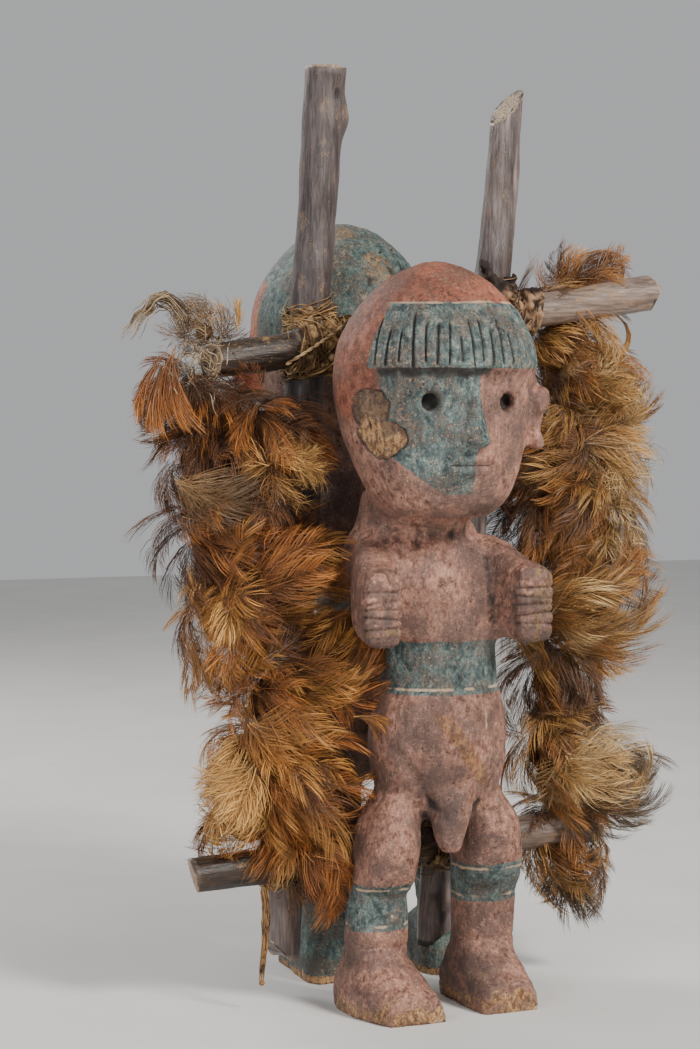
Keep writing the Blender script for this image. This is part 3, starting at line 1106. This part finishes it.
def build_rope(side, lobes, fans, rope_x, seed, material, core_material):
    """A rope of feathers between the cross sticks: its lobes in two pieces, then its fans and its core."""
    rng = np.random.default_rng(seed)
    prefix, node = side + "_feathers", "feather_rope_" + side
    top, bottom = (np.array((rope_x, CROSS_DEPTH, cross_z(rope_x, line))) for line in (TOP_LINE, BOTTOM_LINE))
    centres, radii, parts = [], [], []
    for *numbers, palette, x, y, z in lobes:
        share, sideways, backward, radius = (number / 1000.0 for number in numbers)
        centres.append(bottom + (top - bottom) * share + np.array((sideways, backward, 0.0)) + MOVE)
        radii.append(radius)
        parts.append(dress_lobe(centres[-1], radius, palette, np.array((x, y, z)) / 10.0, rng))
    half = (len(parts) + 1) // 2
    feather_piece(prefix + "_upper", parts[:half], material, node)
    feather_piece(prefix + "_lower", parts[half:], material, node)
    feather_piece(prefix + "_fans", [fan(*row, rng) for row in fans], material, node)
    core = rope_core(prefix + "_core", centres, radii)
    hand_over(core, core_material, node)


# Fibre work

def strand_tube(path, radius, sides, flat=1.0, twist=0.0):
    """One strand as a closed thin tube whose ends taper off."""
    path = np.asarray(path, float)
    count = len(path)
    tangent = unit(np.gradient(path, axis=0))
    u = unit(np.cross(tangent, np.array((0.31, 0.22, 0.92))))
    v = np.cross(tangent, u)
    angles = 2.0 * np.pi * np.arange(sides) / sides
    taper = np.minimum(1.0, np.minimum(np.arange(count), np.arange(count)[::-1]) * 0.5 + 0.35)
    verts = []
    for k in range(count):
        a = angles + twist * k
        ring = np.cos(a)[:, None] * u[k] + flat * np.sin(a)[:, None] * v[k]
        verts.append(path[k] + radius * taper[k] * ring)
    return closed_tube(verts)


def strand_tones(shapes, rng):
    """A tone of its own for each strand, at all its points."""
    return np.concatenate([np.full(len(v), t) for (v, _), t in zip(shapes, rng.random(len(shapes)))])


def loop_path(centre, axis_a, axis_b, size_a, size_b, rng, turns=1.0, drift=None, rough=0.0006):
    """A turn of fibre round something: an oval in the plane of two axes, a little uneven."""
    count = int(26 * turns)
    angle = rng.uniform(0.0, 2.0 * math.pi) + np.linspace(0.0, 2.0 * math.pi * turns, count)
    a, b = (np.sign(wave) * np.abs(wave) ** 0.75 for wave in (np.cos(angle), np.sin(angle)))
    path = centre + a[:, None] * axis_a * size_a + b[:, None] * axis_b * size_b
    path = path + wander_of(path, 0.006, 40, 3.1) * rough * 2.0
    return path if drift is None else path + np.linspace(-0.5, 0.5, count)[:, None] * drift


def build_lashing(node, side, line, bulk, seed, material, core_material, lumps, strands, loose_ends,
                  extra=None):
    """Turns of fibre round a crossing of two sticks, over a lumpy bound core."""
    rng = np.random.default_rng(seed)
    level = line[0]
    for _ in range(2):
        at = float(upright_x(side, level))
        level = float(cross_z(at, line))
    lean = unit(np.array((float(upright_x(side, level + 0.1)) - at, 0.0, 0.1)))
    along = unit(np.array((1.0, 0.0, line[1])))
    deep = np.array((0.0, 1.0, 0.0))
    middle, on_upright, on_cross = (np.array((at, depth, level)) for depth in (
        (UPRIGHT_DEPTH + CROSS_DEPTH) / 2.0, UPRIGHT_DEPTH, CROSS_DEPTH))
    wall = 0.0042 * bulk
    snug = wall * 0.35
    shapes, beads = [], []

    def lay(path):
        shapes.append(strand_tube(path, rng.uniform(0.0003, 0.0007), 4, rng.uniform(0.35, 0.9), 0.15))

    # Crossing turns that hold both sticks, in two slanting directions
    for diagonal in (unit(lean + along * 0.95), unit(lean - along * 0.95)):
        across = unit(np.cross(diagonal, deep))
        for turn in range(int(strands * bulk) + 3):
            offset = rng.uniform(-0.0095, 0.0095) * bulk
            reach = 0.0195 + rng.uniform(0.2, 1.0) * wall
            width = 0.0125 + rng.uniform(0.0, 1.0) * wall
            path = loop_path(middle + across * offset, deep, diagonal, reach, width, rng, 1.0,
                             across * rng.uniform(-0.003, 0.003))
            if turn < 3:
                beads.append(loop_path(middle + across * (turn - 1) * 0.0055 * bulk, deep, diagonal,
                                       0.0192 + snug, 0.0122 + snug, rng))
            else:
                lay(path)
    # Collars on the upright above and below, and on the cross stick left and right
    for centre, axis, radius, across, rise in ((on_upright, lean, UPRIGHT_RADIUS, along, 0.0215),
                                               (on_cross, along, CROSS_RADIUS, lean, 0.0175)):
        for turn in range(int(strands * bulk) + 5):
            offset = rng.uniform(0.007, rise) if rng.random() < 0.6 else -rng.uniform(0.007, 0.0165)
            size = radius * 1.05 + rng.uniform(0.2, 0.9) * wall
            tilt = axis * rng.uniform(-0.006, 0.006)
            path = loop_path(centre + axis * offset, unit(deep + axis * rng.normal(0.0, 0.1)),
                             unit(across + axis * rng.normal(0.0, 0.1)), size, size, rng, 1.0, tilt, 0.001)
            if turn < 5:
                place = (-0.0145, -0.0095, 0.0095, 0.0145, rise - 0.002)[turn]
                size = radius + snug
                beads.append(loop_path(centre + axis * place, deep, across, size, size, rng))
            else:
                lay(path)
        # Crushed short fibres that mat the turns together
        for _ in range(int(strands * 4.5)):
            offset = rng.uniform(-0.014, rise)
            size = radius * 1.06 + rng.uniform(0.6, 1.15) * wall
            path = loop_path(centre + axis * offset, unit(deep + axis * rng.normal(0.0, 0.35)),
                             unit(across + axis * rng.normal(0.0, 0.45)), size, size, rng,
                             rng.uniform(0.2, 0.42), None, 0.0016)
            shapes.append(strand_tube(path, rng.uniform(0.00018, 0.0004), 3, 0.8, 0.3))
    if extra is not None:
        beads.append(rows_between(extra, 34))
        beads.append(beads[-1][:20] + np.array((0.003, 0.003, -0.0025)))
    steps = np.linspace(0.0, 1.0, 8)
    for _ in range(loose_ends):
        head = unit(rng.normal(0.0, 1.0, 3) + np.array((0.0, -0.8, -0.6)))
        root = middle + head * 0.012 + rng.normal(0.0, 0.003, 3)
        length = rng.uniform(0.008, 0.017)
        path = root + head * (steps * length)[:, None] + np.array((0.0, 0.0, -0.006)) * (steps ** 2)[:, None]
        path = path + wander_of(path, 0.005, seed, 1.0) * 0.0016
        shapes.append(strand_tube(path, rng.uniform(0.0002, 0.0004), 4, 0.6))
    verts, faces = joined(shapes)
    piece = mesh_object(node + "_turns", verts + MOVE, faces)
    tone = strand_tones(shapes, rng)
    paint_layer(piece, "strand", tone, layered(points_of(piece), 0.006, seed, 2), tone, tone)
    hand_over(piece, material, node)

    bead = (wall * 0.62,) * 3
    verts, faces = joined([ball_shape(point, bead, 8, 6) for path in beads for point in path[::2]])
    core = mesh_object(node + "_turns_core", verts + MOVE, faces)
    fuse(core, LASHING_VOXEL)
    relax(core, 0.5, 1)
    points = points_of(core)
    knots = layered(points, 0.0034, seed + 1, 2) - 0.5
    holes = ease(0.58, 0.7, layered(points, 0.003, seed + 2, 2))
    push(core, knots * 0.003 * lumps - holes * 0.0014 * lumps)
    flare = ease(0.379, 0.388, points[:, 2]) if extra is not None else np.zeros(len(points))
    light = 0.5 + knots * 1.8 - ease(0.00002, 0.0003, hollowness(core, 2)) - holes * 0.6 - flare * 0.8
    paint_layer(core, "strand", light, layered(points, 0.005, seed + 3, 2) - 0.34 * flare, light, light)
    hand_over(core, core_material, node)


CRUST_ROUTE = (
    (0.06, 0.0, 0.3985), (0.0612, -0.0045, 0.3935), (0.065, -0.0095, 0.387), (0.0685, -0.016, 0.379),
    (0.0735, -0.02, 0.37), (0.08, -0.0205, 0.3625),
)
NECK_CORD_ROUTE = (
    (-0.069, -0.025, 0.3418), (-0.055, -0.027, 0.3505), (-0.042, -0.027, 0.359),
    (-0.029, -0.024, 0.3675), (-0.014, -0.018, 0.3735), (0.002, -0.009, 0.3765),
    (0.02, -0.002, 0.3775), (0.038, -0.001, 0.38),
)


def build_wiry_fibres(material):
    """Crushed thin fibres round the left end of the top stick, with a frayed tuft."""
    rng = np.random.default_rng(77)
    steps = np.linspace(0.0, 1.0, 9)[:, None]
    shapes = []
    heart = np.array((-0.115, -0.018, 0.344))
    for _ in range(110):
        root = heart + rng.normal(0.0, 1.0, 3) * np.array((0.0085, 0.005, 0.0085))
        heading = unit(rng.normal(0.0, 1.0, 3) + np.array((0.2, -0.3, -0.5)))
        path = root + heading * steps * rng.uniform(0.006, 0.017) + np.array((0.0, 0.0, -0.003)) * steps ** 2
        path = path + wander_of(path, 0.005, 95, 1.0) * 0.006
        shapes.append(strand_tube(path, rng.uniform(0.00016, 0.00034), 3, 0.8, 0.3))
    tuft = rows_between(((-0.119, -0.012, 0.358), (-0.1225, -0.008, 0.371), (-0.1308, -0.005, 0.3765),
                         (-0.14, -0.004, 0.369), (-0.1495, -0.004, 0.357)), 14)
    for _ in range(80):
        first = rng.integers(0, 5)
        last = rng.integers(9, 15)
        path = tuft[first:last] + rng.normal(0.0, 1.0, 3) * 0.0019
        path = path + wander_of(path, 0.0045, 105, 1.0) * 0.0042
        shapes.append(strand_tube(path, rng.uniform(0.00016, 0.00036), 3, 0.8, 0.3))
    verts, faces = joined(shapes)
    piece = mesh_object("left_feathers_fibre", verts + MOVE, faces)
    tone = strand_tones(shapes, rng)
    paint_layer(piece, "strand", tone, layered(verts, 0.006, 97, 2), tone, tone)
    hand_over(piece, material, "feather_rope_left")


def cord_piece(node, shapes, seed, material):
    verts, faces = joined(shapes)
    cord = mesh_object(node + "_strands", verts, faces)
    paint_layer(cord, "strand", *[layered(verts, 0.004, seed, 2)] * 4)
    hand_over(cord, material, node)
    return cord


def build_neck_cord(material):
    """Two strands twisted round each other along the cord's route."""
    route = rows_between(NECK_CORD_ROUTE, 160) + MOVE
    tangent = unit(np.gradient(route, axis=0))
    u = unit(np.cross(tangent, np.array((0.0, 0.0, 1.0))))
    v = np.cross(tangent, u)
    shapes = []
    for phase in (np.linspace(0.0, 2.0 * math.pi * 13.0, len(route)) + start for start in (0.0, math.pi)):
        path = route + np.array((0.0, -0.001, 0.0))
        path = path + 0.00048 * (np.cos(phase)[:, None] * u + np.sin(phase)[:, None] * v)
        shapes.append(strand_tube(path, 0.0005, 6))
    cord_piece("neck_cord", shapes, 9, material)


def build_tie_end(material):
    """The loose end of the lower left lashing: twelve strands, two knots and a frayed tip."""
    t = np.linspace(0.0, 1.0, 40)
    top = np.array((-0.0815, -0.0245, 0.0672))
    route = top + np.stack([0.0009 * np.sin(5.0 * t), -0.0012 * np.sin(4.0 * t), -TIE_LENGTH * t], 1) + MOVE
    rng = np.random.default_rng(5)
    shapes = []
    for k in range(12):
        angle = k * 2.4
        swing = 0.0011 + 0.0006 * rng.random()
        offset = np.stack([np.cos(angle + 3.0 * t), np.sin(angle + 3.0 * t), 0.0 * t], 1) * swing
        taper = np.where(t < 0.62, 1.0, 1.0 - (t - 0.62) * 1.1)[:, None]
        stop = 40 if k < 3 else 40 - rng.integers(0, 12)
        spread = (-0.0009 if k % 2 else 0.0007) * ease(0.6, 0.35, t) * (k > 2)
        path = (route + offset * taper + np.stack([spread, 0.0 * t, 0.0 * t], 1))[:stop]
        path = path + wander_of(path + k, 0.004, 90) * 0.001 * (k > 2)
        shapes.append(strand_tube(path, rng.uniform(0.00024, 0.00046), 5, 0.7))
    low_knot = route[-1] + np.array((0.0, 0.0, 0.0008))
    for knot_at, size, turns in ((route[26], 0.0016, 7), (low_knot, 0.0012, 6)):
        for _ in range(turns):
            a, b = unit(rng.normal(0.0, 1.0, 3)), unit(rng.normal(0.0, 1.0, 3))
            b = unit(b - a * float(a @ b))
            path = loop_path(knot_at, a, b, size, size, rng, 1.0, None, 0.0002)
            shapes.append(strand_tube(path, 0.0003, 5))
    tie = cord_piece("tie_end", shapes, 19, material)
    path = [tuple(float(v) for v in p) for p in route[::3]]


# Materials

class Nodes:
    """Short calls for building a node material; an input takes a number, a tuple or another node's output."""

    def __init__(self, name):
        self.material = bpy.data.materials.new(name)
        self.material.use_nodes = True
        self.tree = self.material.node_tree
        self.position = self.add("ShaderNodeTexCoord").outputs["Object"]

    def feed(self, socket, value):
        if isinstance(value, (int, float)):
            socket.default_value = value
        elif isinstance(value, tuple):
            socket.default_value = (*value, 1.0)[:len(socket.default_value)]
        else:
            self.tree.links.new(value, socket)

    def add(self, kind, **inputs):
        node = self.tree.nodes.new(kind)
        self.fill(node, inputs)
        return node

    def fill(self, node, inputs):
        for key, value in inputs.items():
            self.feed(node.inputs[key.replace("_", " ")], value)

    def layer(self, name):
        node = self.add("ShaderNodeAttribute")
        node.attribute_name = name
        return node.outputs

    def channels(self, name):
        layer = self.layer(name)
        return (*self.add("ShaderNodeSeparateColor", Color=layer["Color"]).outputs, layer["Alpha"])

    def noise(self, scale, detail, rough, stretch=None, distortion=0.0):
        place = self.position
        if stretch is not None:
            place = self.add("ShaderNodeMapping", Scale=stretch, Vector=place).outputs["Vector"]
        return self.add("ShaderNodeTexNoise", Scale=scale, Detail=detail, Roughness=rough,
                        Distortion=distortion, Vector=place).outputs["Fac"]

    def maths(self, operation, first, second):
        node = self.add("ShaderNodeMath")
        node.operation = operation
        for socket, value in zip(node.inputs, (first, second)):
            self.feed(socket, value)
        return node.outputs[0]

    def plus(self, first, second):
        return self.maths("ADD", first, second)

    def times(self, first, second):
        return self.maths("MULTIPLY", first, second)

    def spread(self, value, amount):
        """A noise round zero."""
        return self.times(self.maths("SUBTRACT", value, 0.5), amount)

    def span(self, value, low, high, to_low=0.0, to_high=1.0):
        node = self.add("ShaderNodeMapRange", Value=value, From_Min=low, From_Max=high, To_Min=to_low,
                        To_Max=to_high)
        node.interpolation_type = "SMOOTHSTEP"
        return node.outputs["Result"]

    def mix(self, share, first, second, blend="MIX"):
        node = self.add("ShaderNodeMix")
        node.data_type = "RGBA"
        node.blend_type = blend
        for index, value in ((0, share), (6, first), (7, second)):
            self.feed(node.inputs[index], value)
        return node.outputs[2]

    def over(self, colour, share, amount, tone):
        """A screen tone laid over a colour by a share and a full amount."""
        return self.mix(self.times(share, amount), colour, srgb(*tone))

    def bumps(self, *layers):
        """Layers of relief, each a height, a strength and a distance, one on the other."""
        made = {}
        for height, strength, distance in layers:
            node = self.add("ShaderNodeBump", Height=height, Strength=strength, Distance=distance, **made)
            made = {"Normal": node.outputs["Normal"]}
        return made

    def finished(self, colour, roughness, specular, **others):
        self.fill(self.tree.nodes["Principled BSDF"], dict(
            Base_Color=colour, Roughness=roughness, Specular_IOR_Level=specular, **others))
        return self.material


def srgb(red, green, blue):
    """Linear colour of 0 to 255 screen values."""
    return tuple(v / 255.0 / 12.92 if v <= 10 else ((v / 255.0 + 0.055) / 1.055) ** 2.4
                 for v in (red, green, blue))


def paint_material(name, body, blue, red):
    """Worn earth paints over carved wood; each paint is a dark, a middle and a light tone."""
    n = Nodes(name)
    blue_zone, red_zone, bare_zone, ochre_zone = n.channels("zones")
    dark_zone, pale_zone, drift, smear = n.channels("wear")
    coarse = n.noise(42.0, 5.0, 0.6)
    mottle = n.noise(165.0, 6.0, 0.66)
    strokes = n.noise(420.0, 6.0, 0.68, (1.0, 1.0, 0.55))
    fine = n.noise(900.0, 5.0, 0.68)
    speck = n.noise(1500.0, 4.0, 0.62, None, 0.6)
    worn = n.noise(620.0, 6.0, 0.7, None, 0.8)
    uneven = n.spread(worn, 0.8)

    def edge(zone):
        return n.span(n.plus(zone, uneven), 0.42, 0.58)

    def coat(tones):
        dark, middle, light = (srgb(*tone) for tone in tones)
        mixed = n.plus(n.times(mottle, 0.55), n.times(strokes, 0.45))
        made = n.mix(n.span(mixed, 0.38, 0.54), dark, middle)
        return n.mix(n.span(n.plus(mixed, n.times(fine, 0.5)), 0.74, 0.94), made, light)

    colour = n.over(coat(body), n.span(coarse, 0.46, 0.6), 0.4, (112, 92, 93))
    ochres = n.mix(n.span(strokes, 0.4, 0.6), srgb(112, 74, 50), srgb(158, 112, 72))
    colour = n.mix(n.times(edge(ochre_zone), 0.8), colour, ochres)
    colour = n.mix(edge(red_zone), colour, coat(red))
    colour = n.mix(edge(blue_zone), colour, coat(blue))
    # Rubbed patches let the paint below and the bare wood through
    colour = n.over(colour, n.span(n.plus(worn, n.times(coarse, 0.45)), 0.8, 0.86), 0.75, (176, 140, 112))
    colour = n.over(colour, n.span(n.plus(mottle, n.times(coarse, 1.1)), 1.0, 1.16), 0.6, (62, 43, 38))
    wood = n.mix(n.span(strokes, 0.43, 0.58), srgb(178, 138, 94), srgb(112, 76, 50))
    wood = n.over(wood, n.span(n.plus(worn, n.times(mottle, 0.7)), 0.84, 0.96), 0.75, (78, 64, 56))
    colour = n.mix(edge(bare_zone), colour, wood)
    colour = n.over(colour, n.span(n.plus(pale_zone, uneven), 0.45, 0.8), 0.72, (196, 168, 138))
    colour = n.over(colour, n.span(n.plus(speck, n.times(mottle, 0.35)), 0.83, 0.865), 0.85, (208, 184, 150))
    pit = n.span(n.plus(fine, n.times(mottle, 0.3)), 0.53, 0.47)
    colour = n.over(colour, pit, 0.75, (44, 32, 30))
    colour = n.over(colour, n.span(smear, 0.2, 0.8), 0.62, (72, 57, 52))
    colour = n.over(colour, n.span(n.plus(dark_zone, n.times(uneven, 0.35)), 0.25, 0.85), 0.9, (30, 24, 23))
    shade = n.add("ShaderNodeHueSaturation", Value=n.span(drift, 0.2, 0.8, 0.74, 1.18), Color=colour)
    return n.finished(shade.outputs["Color"], n.span(worn, 0.35, 0.65, 0.5, 0.8), 0.4, **n.bumps(
        (mottle, 0.55, 0.0016), (strokes, 0.6, 0.0008), (pit, 0.7, -0.0005), (fine, 0.6, 0.0004)))


def stick_material(name, pale, dark, specks, cut, along):
    """Handled bark or peeled wood, with its grain along the stick; pale and dark are pairs of tones."""
    n = Nodes(name)
    cut_zone, hollow_zone, edge_zone, gloom = n.channels("marks")
    stretch = (0.1, 1.0, 1.0) if along == "x" else (1.0, 1.0, 0.1)
    fibre = n.noise(800.0, 6.0, 0.62, stretch)
    ribs = n.noise(230.0, 5.0, 0.6, stretch, 0.4)
    blotch = n.noise(130.0, 6.0, 0.7, tuple(0.4 + 0.6 * s for s in stretch))
    speck = n.noise(1200.0, 4.0, 0.62)
    grain = n.span(n.plus(n.times(fibre, 0.5), n.times(ribs, 0.5)), 0.42, 0.58)
    ragged = n.spread(speck, 0.6)
    colour = n.mix(n.span(n.plus(gloom, n.spread(blotch, 0.9)), 0.2, 0.8),
                   *(n.mix(grain, *(srgb(*tone) for tone in tones)) for tones in (pale, dark)))
    colour = n.over(colour, n.span(n.plus(blotch, n.times(speck, 0.4)), 0.76, 0.84), 0.7, specks)
    colour = n.over(colour, n.span(n.plus(ribs, edge_zone), 0.62, 1.2), n.span(gloom, 0.3, 1.0, 0.5, 0.12),
                    [min(235, int(c * 1.18)) for c in pale[1]])
    ends = n.mix(n.span(fibre, 0.4, 0.6), srgb(*cut), srgb(*(int(c * 0.72) for c in cut)))
    colour = n.mix(n.span(n.plus(cut_zone, ragged), 0.4, 0.6), colour, ends)
    colour = n.over(colour, n.span(n.plus(hollow_zone, ragged), 0.35, 0.95), 0.85, (30, 24, 22))
    return n.finished(colour, n.span(blotch, 0.35, 0.65, 0.3, 0.56), 0.5,
                      **n.bumps((ribs, 0.6, 0.0012), (fibre, 0.7, 0.0006), (speck, 0.3, 0.0002)))


def fibre_material(name, pale, brown, dark):
    n = Nodes(name)
    tone, drift, _, _ = n.channels("strand")
    fine = n.noise(900.0, 4.0, 0.6)
    colour = n.mix(tone, srgb(*brown), srgb(*pale))
    colour = n.mix(n.span(n.plus(drift, n.times(fine, 0.5)), 0.82, 0.52), colour, srgb(*dark))
    return n.finished(colour, n.span(fine, 0.3, 0.7, 0.6, 0.85), 0.3, **n.bumps((fine, 0.5, 0.0003)))


def feather_material(name, warmth):
    """Vanes in their own point colours, and warmth multiplies these."""
    n = Nodes(name)
    tint = n.mix(1.0, n.layer("tint")["Color"], warmth, "MULTIPLY")
    fine = n.noise(1200.0, 3.0, 0.6)
    drift = n.span(n.noise(90.0, 3.0, 0.6), 0.35, 0.65, 0.0, 0.3)
    colour = n.mix(drift, tint, (0.55, 0.55, 0.55), "MULTIPLY")
    colour = n.mix(n.span(fine, 0.45, 0.75, 0.0, 0.18), colour, (0.62, 0.44, 0.24))
    rough = n.span(fine, 0.3, 0.7, 0.42, 0.62)
    return n.finished(colour, rough, 0.35, Sheen_Weight=0.12, Sheen_Roughness=0.4)


def core_material_of(name):
    n = Nodes(name)
    fibre = n.noise(500.0, 5.0, 0.65, (1.0, 1.0, 0.3))
    colour = n.mix(n.span(fibre, 0.35, 0.7), (0.035, 0.016, 0.009), (0.13, 0.06, 0.025))
    return n.finished(colour, n.span(fibre, 0.3, 0.7, 0.8, 0.95), 0.2, **n.bumps((fibre, 0.8, 0.0012)))


def floor_material():
    n = Nodes("pale_floor")
    colour = n.mix(n.span(n.noise(9.0, 4.0, 0.6), 0.3, 0.7), (0.66, 0.65, 0.63), (0.7, 0.69, 0.67))
    return n.finished(colour, 0.85, 0.2)


# Stage and assembly

def add_camera():
    camera = linked("camera", bpy.data.cameras.new("camera"))
    c, s = math.cos(CAMERA_TURN), math.sin(CAMERA_TURN)
    x, y = c * CAMERA_RIGHT + s * CAMERA_DISTANCE, s * CAMERA_RIGHT - c * CAMERA_DISTANCE
    camera.location = (x + MOVE[0], y + MOVE[1], CAMERA_HEIGHT)
    camera.rotation_euler = (math.radians(90.0) + CAMERA_PITCH, 0.0, CAMERA_TURN)
    camera.data.lens = CAMERA_LENS
    camera.data.sensor_width = SENSOR_WIDTH
    camera.data.clip_start = 0.05
    bpy.context.scene.camera = camera


def add_light(name, place, height, size, power, colour):
    """A round lamp that shines at the object's middle, at the given height."""
    light = linked(name, bpy.data.lights.new(name, "AREA"))
    light.data.shape, light.data.size = "DISK", size
    light.data.energy, light.data.color = power, colour
    light.location = place
    aim = Vector((0.0, 0.0, height)) - Vector(place)
    light.rotation_euler = aim.to_track_quat("-Z", "Y").to_euler()


def add_stage():
    count = FLOOR_CELLS
    steps = np.linspace(-FLOOR_REACH, FLOOR_REACH, count + 1)
    grid = [(x, y, 0.0) for y in steps for x in steps]
    corners = [row * (count + 1) + column for row in range(count) for column in range(count)]
    floor = mesh_object("floor", grid, [(a, a + 1, a + count + 2, a + count + 1) for a in corners])
    floor.data.materials.append(floor_material())
    add_light("key", (0.5, -1.35, 1.15), 0.24, 0.42, 36.0, (1.0, 0.96, 0.9))
    add_light("fill", (-1.3, -0.75, 0.55), 0.22, 1.0, 9.0, (0.94, 0.97, 1.0))
    add_light("rim", (-0.5, 1.3, 1.2), 0.28, 0.8, 16.0, (1.0, 0.98, 0.95))
    world = bpy.data.worlds.new("studio")
    world.use_nodes = True
    world.node_tree.nodes["Background"].inputs["Color"].default_value = (0.9, 0.91, 0.93, 1.0)
    world.node_tree.nodes["Background"].inputs["Strength"].default_value = 0.5
    bpy.context.scene.world = world


def right_gloom(p):
    """The right upright is darker behind its lashing, at its foot and along its front."""
    foot = 1.6 * (layered(p, (0.005, 0.005, 0.008), 73, 2) - 0.5) - 0.25
    front = bump_at(p[:, 0] - upright_x("right", p[:, 2]), 0.0005, 0.0022) * (p[:, 1] < UPRIGHT_DEPTH)
    return 0.42 + 0.5 * bump_at(p[:, 2], 0.385, 0.03) + ease(0.1, 0.07, p[:, 2]) * foot + 0.8 * front


def add_sticks():
    bark = stick_material("handled_bark", ((98, 84, 81), (134, 119, 114)), ((56, 46, 44), (86, 74, 71)),
                          (128, 104, 84), (172, 148, 120), "z")
    peeled = stick_material("peeled_wood", ((92, 75, 66), (132, 112, 99)), ((30, 21, 16), (58, 42, 30)),
                            (150, 114, 70), (168, 140, 110), "x")
    upright = ("_bark", "upright_bark", bark, (0.0, 1.0, 0.0))
    cross = ("_wood", "cross_bark", peeled, (0.0, 0.0, 1.0))
    axis = upright_axis("left", UPRIGHT_BOTTOM, LEFT_TOP, 200)
    build_stick("left_upright", upright, axis, UPRIGHT_RADIUS,
                (1.04, 1.0, 0.97, 1.0, 0.98, 1.0, 1.02, 1.04, 1.07, 1.06),
                ((axis[0] + np.array((-0.004, 0.0, 0.006)), (-0.75, -0.1, -0.65)),
                 (axis[-1], (0.03, 0.0, 1.0))),
                ((0.945, 180.0, 0.01, 34.0, 0.0044), (0.7, 250.0, 0.006, 20.0, 0.0012),
                 (0.97, 110.0, 0.008, 22.0, -0.0014), (0.62, 140.0, 0.012, 16.0, -0.001)), 31,
                lambda p: 0.02 + 1.0 * ease(0.06, 0.16, p[:, 2]))
    axis = upright_axis("right", UPRIGHT_BOTTOM, RIGHT_TIP + 0.006, 200)
    tip = (float(upright_x("right", RIGHT_TIP)) - 0.003, UPRIGHT_DEPTH, RIGHT_TIP - 0.0095)
    build_stick("right_upright", upright, axis, UPRIGHT_RADIUS * 0.9,
                (1.0, 1.0, 0.97, 1.0, 0.98, 1.0, 1.02, 1.06, 1.0, 1.0),
                ((axis[0] + np.array((0.003, 0.0, 0.004)), (0.5, -0.3, -0.8)), (tip, (-0.7, -0.2, 0.7))),
                ((0.755, 30.0, 0.012, 50.0, 0.0024), (0.9, 120.0, 0.014, 18.0, -0.0012),
                 (0.84, 80.0, 0.02, 14.0, -0.0008)), 37, right_gloom)
    swell = (0.96, 1.0, 1.04, 1.0, 0.98, 1.0, 1.03, 1.05)
    axis = cross_axis(TOP_STICK_START, TOP_STICK_LENGTH, TOP_LINE, 150)
    cuts = ((axis[0] + np.array((0.002, 0.0, 0.0)), (-1.0, -0.35, 0.1)),
            (axis[-1] + np.array((-0.001, 0.0, 0.0)), (1.0, -0.1, 0.16)),
            (axis[-1] + np.array((-0.0035, 0.0, 0.004)), (0.8, -0.3, 0.75)),
            (axis[-1] + np.array((-0.003, 0.0, -0.005)), (0.85, -0.4, -0.45)))
    stub_place = (STUB_X - TOP_STICK_START) / TOP_STICK_LENGTH
    build_stick("top_cross_stick", cross, axis, CROSS_RADIUS, swell, cuts,
                ((stub_place, 318.0, 0.0062, 36.0, 0.0036), (0.12, 90.0, 0.01, 30.0, 0.0012),
                 (0.8, 60.0, 0.012, 26.0, 0.001)), 41, lambda p: ease(0.05, -0.02, p[:, 0]))
    axis = cross_axis(BOTTOM_STICK_START, BOTTOM_STICK_LENGTH, BOTTOM_LINE, 130)
    cuts = ((axis[0] + np.array((0.002, 0.0, 0.0)), (-1.0, 0.2, -0.26)),
            (axis[-1] + np.array((-0.002, 0.0, 0.0)), (1.0, -0.15, 0.3)))
    build_stick("bottom_cross_stick", cross, axis, CROSS_RADIUS, swell, cuts,
                ((0.18, 120.0, 0.01, 30.0, 0.001),), 43,
                lambda p: 0.4 + 0.75 * ease(0.06, -0.04, p[:, 0]))


def main():
    add_camera()
    build_neck_cord(fibre_material("cord_fibre_twist", (200, 172, 130), (156, 124, 86), (96, 72, 50)))
    build_tie_end(fibre_material("tie_fibre", (168, 128, 84), (112, 78, 48), (52, 36, 26)))
    build_figure(FRONT_SHAPE, paint_material(
        "front_worn_paint", ((94, 64, 53), (151, 107, 91), (192, 152, 131)),
        ((44, 56, 57), (84, 99, 97), (147, 158, 149)), ((98, 56, 43), (142, 82, 62), (170, 110, 87))))
    build_figure(BACK_SHAPE, paint_material(
        "back_worn_paint", ((96, 70, 59), (139, 106, 92), (173, 142, 124)),
        ((42, 58, 58), (78, 98, 95), (138, 149, 136)), ((122, 64, 49), (161, 92, 71), (187, 122, 97))))
    add_sticks()

    raffia = fibre_material("raffia_strips", (200, 164, 112), (150, 112, 68), (82, 58, 36))
    old_raffia = fibre_material("old_raffia", (160, 130, 92), (104, 80, 54), (50, 38, 28))
    crust = fibre_material("crusted_fibre", (164, 130, 97), (104, 78, 58), (40, 29, 24))
    build_lashing("lashing_top_left", "left", TOP_LINE, 0.95, 51, raffia, old_raffia, 0.6, 24, 14)
    build_lashing("lashing_top_right", "right", TOP_LINE, 1.1, 53, crust, crust, 1.5, 5, 8, CRUST_ROUTE)
    build_lashing("lashing_bottom_left", "left", BOTTOM_LINE, 0.85, 57, raffia, old_raffia, 0.7, 20, 12)
    build_lashing("lashing_bottom_right", "right", BOTTOM_LINE, 0.85, 59, old_raffia, old_raffia, 0.9, 14, 8)

    left_vane = feather_material("left_feather_vanes", (1.08, 0.88, 0.56))
    right_vane = feather_material("right_feather_vanes", (1.0, 0.98, 0.9))
    core = core_material_of("feather_binding")
    build_rope("left", LEFT_LOBES, LEFT_FANS, LEFT_ROPE_X, 101, left_vane, core)
    build_wiry_fibres(fibre_material("wiry_fibre", (204, 180, 146), (146, 120, 90), (78, 60, 46)))
    build_rope("right", RIGHT_LOBES, RIGHT_FANS, RIGHT_ROPE_X, 103, right_vane, core)
    add_stage()


main()
bpy.context.view_layer.update()
